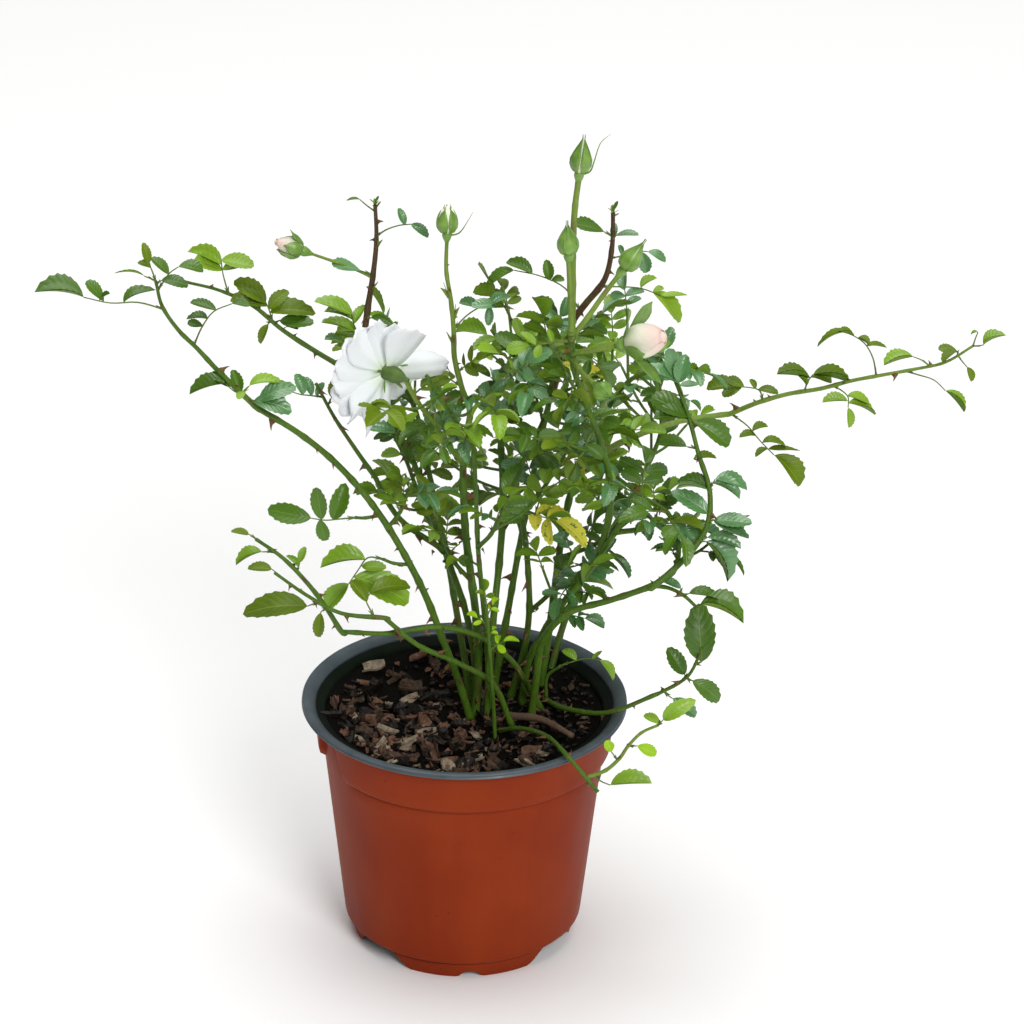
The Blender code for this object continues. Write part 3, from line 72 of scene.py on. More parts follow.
# How everything grows.
GOLDEN_ANGLE = radians(137.5)
CANE_INTERNODE = 30.0
KINK = 0.7  # how far a stem swings aside from node to node
TWIG_WIDTH = (1.5, 1.2)
RACHIS_WIDTH = (1.5, 1.1)
LEAF_THICKNESS = 0.9
LEAFLET_WIDTH = 0.62  # of its length
LEAFLET_WIDEST = 0.45  # of its length out from the rib
KEEP_CLEAR = 0.45
POT_CLEAR = (99.0, 153.0)  # radius and height
SOIL_CLEAR = (84.0, 139.0)

# Canes rise from the soil: foot (x, y), length, width at foot and tip, and course, the headings
# and rises that the cane turns through at even steps.
CANES = {
    "cane_far_left": ((4, 2), 260, (4.4, 3.2), (204, 73, 210, 69, 203, 56, 196, 34)),
    "cane_left_upper": ((6.2, 15), 224, (4.2, 2.9), (344, 86, 144, 78, 153, 65, 148, 70, 157, 57,
        168, 37)),
    "cane_centre_left": ((6.2, 7.2), 175, (5, 4), (359, 84, 189, 88, 194, 81, 134, 85, 309, 88)),
    "cane_front": ((13, 2.4), 192, (3.2, 2.5), (64, 83, 254, 77, 255, 70, 244, 85, 259, 76)),
    "cane_centre_right": ((13.6, 10.6), 160, (4.6, 3.7), (302, 86, 68, 83, 76, 63, 78, 80, 107,
        69)),
    "cane_old": ((27, 29), 155, (4.4, 2.8), (342, 71, 248, 82, 216, 77)),
    "cane_right_lean": ((34, 22), 170, (4.4, 3.5), (301, 88, 317, 58, 320, 56, 313, 60)),
    "cane_right_tall": ((45, 40), 165, (4.6, 3.7), (34, 80, 51, 81, 41, 79, 13, 57)),
    "cane_right_low": ((39, 2), 160, (4.4, 3.4), (289, 75, 283, 72, 327, 28, 325, 33)),
    "cane_trailing_long": ((45, 17), 170, (3.6, 2.7), (225, 61, 235, 52, 205, 37, 203, -4, 200,
        21)),
    "cane_trailing_low": ((28, -5), 130, (3.6, 2.6), (216, 78, 211, 29, 217, 52)),
    "cane_lower_right": ((47, 30), 100, (3.4, 2.4), (288, 16, 296, 13, 341, 14, 14, 36)),
    "cane_hanging": ((20, -10), 110, (3, 2.2), (302, 30, 301, 18, 296, 1, 347, -54)),
    "cane_back_left": ((4, 20), 155, (4.2, 3), (119, 72, 116, 65, 119, 62)),
    "cane_back_centre": ((17, 36), 180, (4.4, 3.2), (24, 80, 64, 68, 57, 66)),
    "cane_back_right": ((50, 52), 135, (4.2, 3), (69, 63, 48, 44, 46, 43)),
    "dead_stub": ((24, 8), 62, (5, 3.2), (318, 20, 310, 12, 300, -2)),
}
# Boughs leave a cane's side: cane, how far up it, length, width and course.
BOUGHS = {
    "bough_left_inner": ("cane_left_upper", 0.45, 70, (3.6, 2.8), (194, 44, 205, 49, 229, 73)),
    "bough_long": ("cane_right_tall", 0.87, 90, (3.8, 3), (15, 38, 13, 13, 15, -1)),
}


def spray(on, length, width, course, *fronds, at=1, leaf=20, internode=20, bare=1, twigs=0,
          tip="cut", leaf_to=1, shoots=()):
    """A mass of leaves: its one stem, the leaves along it and the shoots and twigs off it.

    A shoot is (share of the stem, length, width, course, tip).  A frond is one leaf placed as
    listed: share, length of its rib, rise of its upper side, course of its rib, and its leaflets,
    each (share of the rib, heading, rise, length); the last one ends the rib.
    """
    return dict(on=on, length=length, width=width, course=course, fronds=fronds, at=at, leaf=leaf,
                internode=internode, bare=bare, twigs=twigs, tip=tip, leaf_to=leaf_to,
                shoots=shoots)


def leafy_spray(on, length, width, course, *fronds, tip="leaf", bare=0.12, **values):
    """A spray that carries leaves by the seeded rule."""
    return spray(on, length, width, course, *fronds, tip=tip, bare=bare, **values)


SPRAYS = {
    "spray_far_left": spray("cane_far_left", 98, (2.8, 1.3), (192, 46, 190, 51, 191, 50, 270, 80),
        (0.81, 45, 82, (194, 29, 192, 1, 196, 25), (0.51, 22, 39, 17), (0.75, 164, 44, 15), (0.8,
         331, 48, 9), (1, 180, 18, 26)),
        (0.98, 4, 52, (339, 44), (1, 352, 4, 14)),
        (0.94, 17, 72, (15, 65, 16, 30), (0.61, 162, 45, 14), (1, 8, -5, 15)),
        (1, 11, 52, (180, 72), (0.74, 209, 36, 8), (1, 180, 77, 12)),
        (1, 7, 97, (189, 29), (1, 193, 31, 15)),
        (0.53, 33, 75, (14, 75, 13, 52, 7, 10), (0.37, 167, 6, 9), (0.51, 201, 20, 12), (0.72, 165,
         17, 16), (1, 0, 1, 10)),
        (0.11, 13, 60, (195, 21, 202, 58), (0.73, 166, 32, 14), (0.19, 133, 67, 14), (1, 192, -2,
         20)),
        (0.13, 6, 75, (24, 36), (0.43, 235, -24, 8), (1, 7, 26, 18)),
        (0.07, 6, 65, (340, -1), (0.48, 345, 5, 20), (1, 9, 34, 22)),
        internode=16),
    "spray_left_upper": spray("cane_left_upper", 105, (2.8, 1.3), (167, 24, 165, 37, 169, 2),
        (0.75, 21, 62, (166, 71, 123, 83), (0.72, 200, 27, 20), (0.72, 18, 15, 13), (0.86, 167, 27,
         21), (1, 351, -3, 19)),
        (0.47, 12, 57, (180, 80, 180, 68), (0.44, 355, 18, 23), (0.62, 18, 51, 15), (0.8, 191, 15,
         21), (1, 173, 39, 21)),
        (0.46, 4, 62, (343, 24), (1, 349, -2, 22)),
        (0.47, 3, 42, (221, -21), (1, 219, -47, 12)),
        (0.4, 3, 82, (334, 40), (1, 342, 8, 13)),
        internode=21),
    "spray_left_inner": spray("bough_left_inner", 70, (2.4, 1.3), (192, 58, 194, 60, 198, 67),
        (0.86, 20, 75, (191, 9, 194, 23), (0.21, 38, 55, 9), (0.33, 149, 71, 12), (0.6, 138, 70,
         13), (1, 190, 32, 13)),
        (0.78, 5, 50, (26, 64), (1, 20, 64, 13)),
        internode=22),
    "spray_left_leaf": spray("cane_far_left", 12, (1.7, 1.4), (200, 3, 195, 15),
        (1, 26, 28, (187, -8, 205, 20), (0.5, 17, 70, 21), (0.76, 144, 81, 21), (0.8, 327, -74,
         14), (1, 180, 12, 25)),
        at=0.6),
    "spray_bloom": leafy_spray("cane_centre_left", 84, (2.8, 2), (231, 59, 230, 52, 233, 58),
        at=0.93, leaf=17, bare=0.25, tip="bloom", leaf_to=0.7),
    "spray_left_bud": spray("cane_left_upper", 135, (2.6, 1.1), (187, 53, 262, 83, 319, 78, 307,
        80, 236, 81),
        (0.34, 20, 65, (187, 54, 243, 82), (0.36, 192, 28, 22), (0.71, 29, 58, 12), (0.81, 172, 27,
         17), (1, 188, 28, 23)),
        (0.48, 3, 60, (328, -43), (1, 347, -15, 14)),
        (0.67, 8, 80, (197, 27), (1, 194, 15, 17)),
        (0.97, 12, 75, (186, 34, 201, 49), (1, 197, 16, 7)),
        (0.85, 23, 55, (335, 51, 349, 20, 337, 13), (0.84, 150, 67, 10), (1, 344, -28, 12)),
        at=0.86, internode=22, shoots=((0.66, 41, (1.5, 1.3), (192, 30, 198, 23),
        "opening_bud"),)),
    "spray_second_bud": leafy_spray("cane_centre_left", 134, (3.2, 1.6), (345, 65, 201, 66, 275,
        81, 220, 77, 299, 80),
        (0.57, 29, 60, (26, 58, 14, 26, 8, -1), (0.67, 166, 11, 13), (0.86, 265, -58, 11), (0.86,
         17, 29, 12), (1, 202, 9, 16)),
        leaf=17, internode=19, tip="white_bud", leaf_to=0.42, shoots=((0.49, 42, (1.6, 1.2), (209,
        1, 195, 41, 201, 26), "leaf"),)),
    "spray_front_left": leafy_spray("cane_front", 65, (2.6, 1.6), (224, 59, 220, 55, 226, 59),
        leaf=21, internode=23, twigs=3),
    "spray_centre": leafy_spray("cane_centre_right", 85, (3.6, 1.8), (282, 86, 351, 67, 187, 57),
        leaf=21, internode=23, twigs=3),
    "spray_old": leafy_spray("cane_old", 95, (2.8, 1.6), (332, 61, 322, 71, 223, 72), leaf=21,
        internode=23, twigs=3),
    "spray_candelabra": leafy_spray("cane_right_lean", 175, (3.3, 2.4), (316, 62, 244, 69, 225, 61,
        273, 68), at=0.77, leaf=18, internode=29, twigs=1, tip="cut", leaf_to=0.72, shoots=((0.985,
        90, (2.2, 1.8), (281, 87, 242, 87, 327, 82), "top_bud"), (0.96, 52, (1.8, 1.6), (257, 77,
        256, 75), "green_bud"), (0.97, 43, (1.8, 1.5), (5, 55, 3, 56), "green_bud"), (0.9, 29,
        (1.9, 1.6), (337, 19, 331, 21), "blush_bud"), (0.88, 28, (1.7, 1.5), (288, -14, 300, -5),
        "small_bud"))),
    "spray_right_lean": leafy_spray("cane_right_lean", 41, (2.8, 1.6), (331, 32, 336, 25, 332, 40),
        at=0.9, leaf=21, internode=14, bare=0.4),
    "spray_right_tall": leafy_spray("cane_right_tall", 65, (3, 1.5), (325, 76, 346, 54, 352, -7),
        leaf=18, internode=24, twigs=2),
    "spray_long": spray("bough_long", 150, (2.6, 1.2), (348, 34, 351, 15, 349, 20, 351, 12, 347,
        45),
        (0, 36, 82, (344, -17, 340, -54, 332, -28), (0.47, 18, 23, 10), (0.57, 196, 14, 11), (0.72,
         8, 13, 14), (0.86, 206, -11, 9), (0.86, 9, -10, 20), (1, 348, -40, 25)),
        (0.14, 23, 72, (333, 76, 194, 22, 184, -4), (0.4, 345, 14, 12), (0.48, 132, 55, 7), (0.8,
         164, 19, 11), (0.86, 199, -21, 13), (1, 183, 5, 18)),
        (0.31, 13, 87, (325, 74, 323, 59), (0.29, 211, 55, 10), (0.73, 188, 15, 22), (0.8, 345, 1,
         12), (1, 5, -10, 23)),
        (0.42, 18, 72, (352, -4, 338, -46, 239, -64), (0.63, 11, -2, 15), (0.8, 187, 3, 16), (0.86,
         10, -17, 19), (1, 297, -70, 13)),
        (0.6, 34, 95, (157, 85, 168, 60, 176, 15), (0.58, 15, 12, 12), (0.8, 340, -10, 9), (0.86,
         190, 25, 11), (1, 180, -4, 18)),
        (0.71, 27, 92, (353, -8, 349, -17, 340, -48), (1, 342, -41, 17)),
        (0.81, 12, 92, (191, 43, 192, 22), (1, 189, -10, 19)),
        (0.93, 3, 82, (259, 73), (0.57, 164, 3, 11), (1, 204, -26, 11)),
        (0.93, 9, 82, (349, -50), (1, 315, -61, 9)),
        (1, 9, 82, (0, 75), (1, 155, -18, 5)),
        (1, 6, 92, (0, 7), (1, 5, 39, 14)),
        internode=19),
    "spray_right_low": spray("cane_right_low", 130, (3.1, 1.6), (28, 32, 25, 42, 127, 65, 133, 62,
        134, 61),
        (0.28, 4, 80, (332, -9), (1, 342, -44, 28)),
        (0.29, 4, 65, (346, 2), (1, 346, -10, 21)),
        (0.3, 3, 70, (50, 49), (1, 166, 29, 19)),
        (0.36, 5, 60, (347, 32), (0.86, 339, -22, 24), (1, 352, -4, 22)),
        (0.38, 3, 50, (43, 61), (1, 171, 37, 24)),
        (0.48, 4, 80, (112, 58), (1, 167, 20, 19)),
        (0.51, 7, 65, (0, 64), (0.61, 347, -13, 18), (1, 6, -2, 19)),
        (0.63, 5, 70, (180, 30), (1, 9, 5, 13)),
        (0.69, 6, 65, (170, 10), (1, 169, 3, 16)),
        (0.79, 4, 70, (323, 67), (1, 347, -26, 25)),
        (0.81, 3, 70, (122, 66), (0.39, 197, 20, 22), (1, 172, 24, 23)),
        (0.88, 17, 60, (144, 81, 162, 63), (0.76, 16, -4, 11), (0.86, 41, 73, 16), (0.86, 186, 30,
         22), (1, 153, 70, 19)),
        internode=22),
    "spray_right_inner": leafy_spray("cane_right_low", 90, (2.6, 1.5), (20, 5, 75, 59, 150, 21,
        144, 23), at=0.96, leaf=19, internode=17, bare=0.3, twigs=1),
    "spray_right_branch": spray("cane_right_low", 46, (2.1, 1.4), (346, 33, 343, 1, 326, -46),
        (0.74, 4, 70, (346, 13), (1, 354, 0, 18)),
        (0.97, 3, 80, (337, 38), (1, 354, -7, 27)),
        (0.69, 3, 65, (28, 49), (1, 168, 32, 17)),
        at=0.86, internode=12),
    "spray_lower_right": spray("cane_lower_right", 40, (2.1, 1.3), (358, 26, 358, 47, 334, 87),
        (0, 11, 50, (187, 37, 267, 75), (0.65, 347, 29, 10), (1, 167, 46, 20)),
        (0.07, 7, 50, (349, -39), (1, 349, -33, 18)),
        (0.41, 3, 35, (47, 52), (1, 163, 56, 18)),
        (0.47, 4, 50, (344, -25), (1, 351, -28, 21)),
        (0.71, 5, 30, (0, 21), (1, 148, 83, 31)),
        (0.98, 6, 35, (0, 54), (1, 26, 75, 18))),
    "spray_hanging": spray("cane_hanging", 54, (1.9, 1.3), (353, 15, 346, 66, 353, 25),
        (0.05, 12, 70, (354, -45, 354, -20), (1, 353, 10, 25)),
        (1, 5, 40, (340, 54), (0.44, 160, 24, 10), (1, 347, 45, 19)),
        (0.37, 7, 40, (197, 58), (1, 219, 65, 11)),
        (0.6, 5, 40, (350, 10, 350, 0), (1, 350, -20, 12)),
        at=0.9, internode=11),
    "spray_trailing_long": spray("cane_trailing_long", 80, (2.5, 1.5), (199, 64, 194, 55, 190, 37),
        (0.82, 8, 80, (202, 14), (1, 195, -11, 16)),
        (0.6, 6, 60, (40, 70), (0.5, 170, 50, 9), (1, 30, 70, 10)),
        (1, 5, 60, (190, 40), (1, 195, 20, 11))),
    "spray_trailing_low": leafy_spray("cane_trailing_low", 76, (2.5, 1.3), (196, 1, 200, 39, 201,
        44),
        (0.08, 16, 55, (170, 45, 60, 20), (0.6, 150, 50, 16), (1, 15, 20, 24)),
        (0.46, 6, 35, (215, -19), (1, 248, -72, 14)),
        (0.54, 8, 60, (203, -5), (1, 187, 7, 34)),
        (0.69, 26, 55, (200, 40, 189, 45, 203, 44), (1, 188, 9, 14)),
        leaf=16, internode=25, bare=0.9),
    "spray_new_shoot": leafy_spray((18, -22), 90, (1.9, 1.4), (217, 86, 229, 83), leaf=9,
        internode=15, bare=0.6),
    "spray_dark_top": leafy_spray("cane_back_centre", 125, (3.1, 1.2), (352, 72, 320, 87, 357, 43,
        345, 81, 28, 95),
        (0.47, 48, 65, (166, 69, 170, 25, 170, -1), (0.53, 339, 20, 9), (0.55, 130, 78, 13), (0.77,
         169, 30, 18), (1, 189, -14, 19)),
        (0.62, 37, 70, (350, 10, 352, -3, 349, -22), (0.66, 19, 40, 12), (0.86, 25, 20, 8), (0.86,
         348, -27, 22), (1, 4, -3, 16)),
        (0.77, 23, 65, (355, 16, 356, 22, 352, -5), (0.33, 113, 53, 7), (0.8, 320, -64, 14), (1,
         350, -11, 11)),
        (0.86, 4, 80, (333, 58), (0.47, 82, 70, 9), (1, 351, 12, 13)),
        (0.88, 6, 75, (191, 35), (1, 189, 16, 19)),
        leaf=14, internode=22, bare=0.2, twigs=1, tip="cut", leaf_to=0.4),
    "spray_back_left": leafy_spray("cane_back_left", 60, (2.8, 1.6), (119, 67, 141, 61, 122, 70),
        leaf=21, internode=23, twigs=3),
    "spray_back_right": leafy_spray("cane_back_right", 57, (2.8, 1.6), (22, 62, 28, 70, 156, 69),
        leaf=21, internode=23, twigs=2),
    "spray_low_left": leafy_spray("cane_far_left", 28, (2, 1.4), (10, 60, 40, 62), at=0.56,
        leaf=18, internode=10, bare=0.3),
    "spray_low_front": leafy_spray("cane_front", 50, (2.2, 1.5), (290, 40, 300, 62), at=0.66,
        leaf=21, internode=23, bare=0.3, twigs=1),
    "spray_low_centre": leafy_spray("cane_centre_right", 55, (2.4, 1.5), (345, 45, 20, 60),
        at=0.72, leaf=21, internode=23, bare=0.3, twigs=1),
    "spray_low_right": leafy_spray("cane_right_tall", 60, (2.4, 1.5), (350, 30, 0, 45), at=0.5,
        leaf=21, internode=23, bare=0.3, twigs=1),
    "spray_low_back": leafy_spray("cane_back_centre", 65, (2.6, 1.5), (110, 35, 95, 50), at=0.55,
        leaf=21, internode=19, bare=0.25, twigs=1),
    "spray_back_low_left": leafy_spray("cane_back_left", 76, (2.6, 1.5), (150, 60, 160, 72, 170,
        60), at=0.62, leaf=19, internode=17, bare=0.25, twigs=1),
    "spray_arch_leaf": spray("cane_far_left", 14, (1.7, 1.4), (186, 11, 193, 35),
        (1, 28, 60, (191, 39, 194, -53, 202, -58), (0.4, 187, 4, 25), (0.55, 349, -1, 15), (0.82,
         352, -20, 36), (1, 195, -45, 20)),
        at=0.45),
    "spray_low_inner": leafy_spray("cane_centre_left", 42, (2.2, 1.4), (185, 60, 175, 75), at=0.5,
        leaf=19, internode=15, bare=0.25),
    "spray_low_lean": leafy_spray("cane_right_lean", 34, (2.2, 1.4), (350, 50, 10, 66), at=0.36,
        internode=14, bare=0.25, twigs=1),
    "spray_over_pot": spray("cane_lower_right", 25, (1.7, 1.4), (210, 77, 349, 32),
        (1, 24, 70, (353, 34, 352, -8), (0.42, 159, 36, 10), (0.8, 21, 32, 8), (1, 342, -48, 15)),
        at=0.04),
    "spray_mid_low": leafy_spray("cane_old", 52, (2.3, 1.4), (345, 55, 15, 62), at=0.4, leaf=21,
        internode=15, bare=0.25, twigs=1),
    "spray_left_mid": spray("cane_left_upper", 25.9, (1.9, 1.4), (229, 52, 230, 67),
        (0.17, 4, 60, (330, 13), (1, 342, 4, 16)),
        (0.4, 3, 50, (198, -16), (1, 199, 11, 12)),
        (0.61, 4, 55, (0, 48), (1, 9, 37, 17)),
        (0.93, 3, 60, (224, 65), (1, 195, 24, 17)),
        (1, 5, 60, (319, 72), (0.57, 15, 37, 15), (1, 166, 58, 16)),
        at=0.7, internode=7),
}

# The seed that each spray's growth by the rule is thrown from.
SEEDS = {
    "spray_bloom": 24, "spray_second_bud": 34, "spray_front_left": 1, "spray_centre": 18,
    "spray_old": 1, "spray_candelabra": 10, "spray_right_lean": 6, "spray_right_tall": 7,
    "spray_right_inner": 26, "spray_trailing_low": 1, "spray_new_shoot": 25, "spray_dark_top": 3,
    "spray_back_left": 7, "spray_back_right": 7, "spray_low_left": 28, "spray_low_front": 2,
    "spray_low_centre": 18, "spray_low_right": 8, "spray_low_back": 12, "spray_back_low_left": 3,
    "spray_low_inner": 7, "spray_low_lean": 16, "spray_mid_low": 12,
}

# Buds by name: length and width of the bud, length of its sepals, and how far it is open.
BUDS = {
    "top_bud": (21, 11, 16, 0.35),
    "green_bud": (19, 11, 10, 0.0),
    "small_bud": (12, 10, 8, 0.0),
    "white_bud": (17, 11, 15, 0.7),
    "opening_bud": (16, 12, 13, 0.8),
    "blush_bud": (25, 19, 22, 0.5),
}
# Rings of petals: how many, length, width, lift from flat and turn.
BLOOM_PETALS = ((7, 33, 20, 8, 0.0), (6, 27, 18, 36, 0.5))
PETAL_TWIST = radians(15)
PETAL_WIDEST = 0.68
SHOOT_INTERNODE = 16


# --- Growing ---

def bearing(heading, rise):
    """The unit vector of a heading and a rise in degrees."""
    h, r = radians(heading), radians(rise)
    return Vector((cos(r) * cos(h), cos(r) * sin(h), sin(r)))


BLOOM_FACE = bearing(130.0, -14.0)  # the way the bloom looks


def square_to(ahead, angle):
    """A direction square to ahead, turned round it by an angle."""
    aside = ahead.orthogonal().normalized()
    aside.rotate(Quaternion(ahead, angle))
    return aside


def grow(start, length, course, internode):
    """The nodes of a stem: it turns evenly through its course and swings a little at each node."""
    fine = 4
    count = max(2, round(length / internode)) * fine
    steps = [bearing(*course[i:i + 2]) for i in range(0, len(course), 2)]
    if len(steps) == 1:
        steps *= 2
    nodes, point = [start.copy()], start.copy()
    for i in range(count):
        t = (i + 0.5) / count * (len(steps) - 1)
        a = min(int(t), len(steps) - 2)
        ahead = steps[a].lerp(steps[a + 1], t - a).normalized()
        point = point + ahead * (length * MM / count)
        if (i + 1) % fine == 0:
            aside = ahead.cross(UP if abs(ahead.z) < 0.9 else Vector((1, 0, 0))).normalized()
            swing = KINK * MM * (1 if (i + 1) // fine % 2 else -1) * (i + 1 < count)
            nodes.append(point + aside * swing)
    return nodes


def along(nodes, share):
    """The point and the direction at a share of a stem's nodes."""
    place = min(max(share, 0.0), 1.0) * (len(nodes) - 1)
    i = min(int(place), len(nodes) - 2)
    return nodes[i].lerp(nodes[i + 1], place - i), (nodes[i + 1] - nodes[i]).normalized()


def width_at(stem, share):
    return stem["width"][0] + (stem["width"][1] - stem["width"][0]) * share


def stem_foot(parent, share, direction, width):
    """Where a separate stem starts, GAP clear of its parent's tip or side."""
    point, ahead = along(parent["nodes"], share)
    if share == 1:
        turn = sqrt(max(0.0, 1 - direction.dot(ahead) ** 2))
        return point + ahead * ((GAP + turn * width / 2) * MM)
    aside = (direction - ahead * direction.dot(ahead)).normalized()
    out = width_at(parent, share) / 2 + GAP + width / 2 * abs(direction.dot(ahead))
    return point + aside * (out * MM)


def blade(leaflet, thickness, ahead_of_root=0.0):
    """A leaflet or sepal of eight faces, widest a little before its middle."""
    length, ahead = leaflet["length"], leaflet["ahead"]
    root = leaflet["root"] + ahead * (ahead_of_root * MM)
    width = leaflet.get("width", length * LEAFLET_WIDTH)
    widest = leaflet.get("widest", LEAFLET_WIDEST)
    bm = bmesh.new()
    bmesh.ops.create_uvsphere(bm, u_segments=4, v_segments=2, radius=1.0)
    side = ahead.cross(leaflet["normal"]).normalized()
    flat = side.cross(ahead).normalized()
    for vert in bm.verts:
        x, y, z = vert.co
        reach = (0.5 + 0.5 * y) * length if abs(y) > 0.5 else widest * length
        vert.co = root + (ahead * reach + side * x * width / 2 + flat * z * thickness / 2) * MM
    return bm


class Crowd:
    """The shapes that already stand in the plant, to keep clear of."""

    def __init__(self):
        self.taken = []

    @staticmethod
    def shape(bm):
        middle = sum((v.co for v in bm.verts), Vector()) / len(bm.verts)
        reach = max((v.co - middle).length for v in bm.verts)
        tree = BVHTree.FromBMesh(bm)
        bm.free()
        return tree, middle, reach

    def add(self, owner, bm):
        self.taken.append((owner, *self.shape(bm)))

    def meets(self, bm, ignore):
        tree, middle, reach = self.shape(bm)
        return any(
            owner not in ignore and (middle - other).length < reach + size and tree.overlap(taken)
            for owner, taken, other, size in self.taken)

    @staticmethod
    def rods(nodes, width):
        """Four-sided rods from node to node, KEEP_CLEAR thicker all round than the stem."""
        for start, end in zip(nodes, nodes[1:]):
            bm = bmesh.new()
            bmesh.ops.create_cone(bm, cap_ends=True, segments=4, radius1=1, radius2=1, depth=2)
            turn = (end - start).normalized().to_track_quat("Z", "Y")
            for vert in bm.verts:
                corner = Vector((*vert.co.xy, 0)) * (max(width) / 2 + KEEP_CLEAR) * MM
                vert.co = (end if vert.co.z > 0 else start) + turn @ corner
            yield bm

    def add_stem(self, owner, nodes, width):
        for bm in self.rods(nodes, width):
            self.add(owner, bm)

    def stem_meets(self, nodes, width, ignore):
        return any(self.meets(bm, ignore) for bm in self.rods(nodes, width))


def in_pot(point):
    """Whether a point would be in the pot, its soil or the ground."""
    out, height = hypot(point.x, point.y) / MM, point.z / MM
    if out < SOIL_CLEAR[0]:
        return height < SOIL_CLEAR[1]
    return out < POT_CLEAR[0] and height < POT_CLEAR[1]


def pair_leaflet(rib, share, hand, normal):
    """Where one leaflet of a pair leaves the rib, and the way it goes."""
    root, ahead = along(rib, share)
    side = ahead.cross(normal).normalized()
    return root, (ahead * 0.45 + side * hand * 0.9 - UP * 0.12).normalized()


def end_leaflet(rib):
    root, ahead = along(rib, 1.0)
    return root, (ahead - UP * 0.1).normalized()


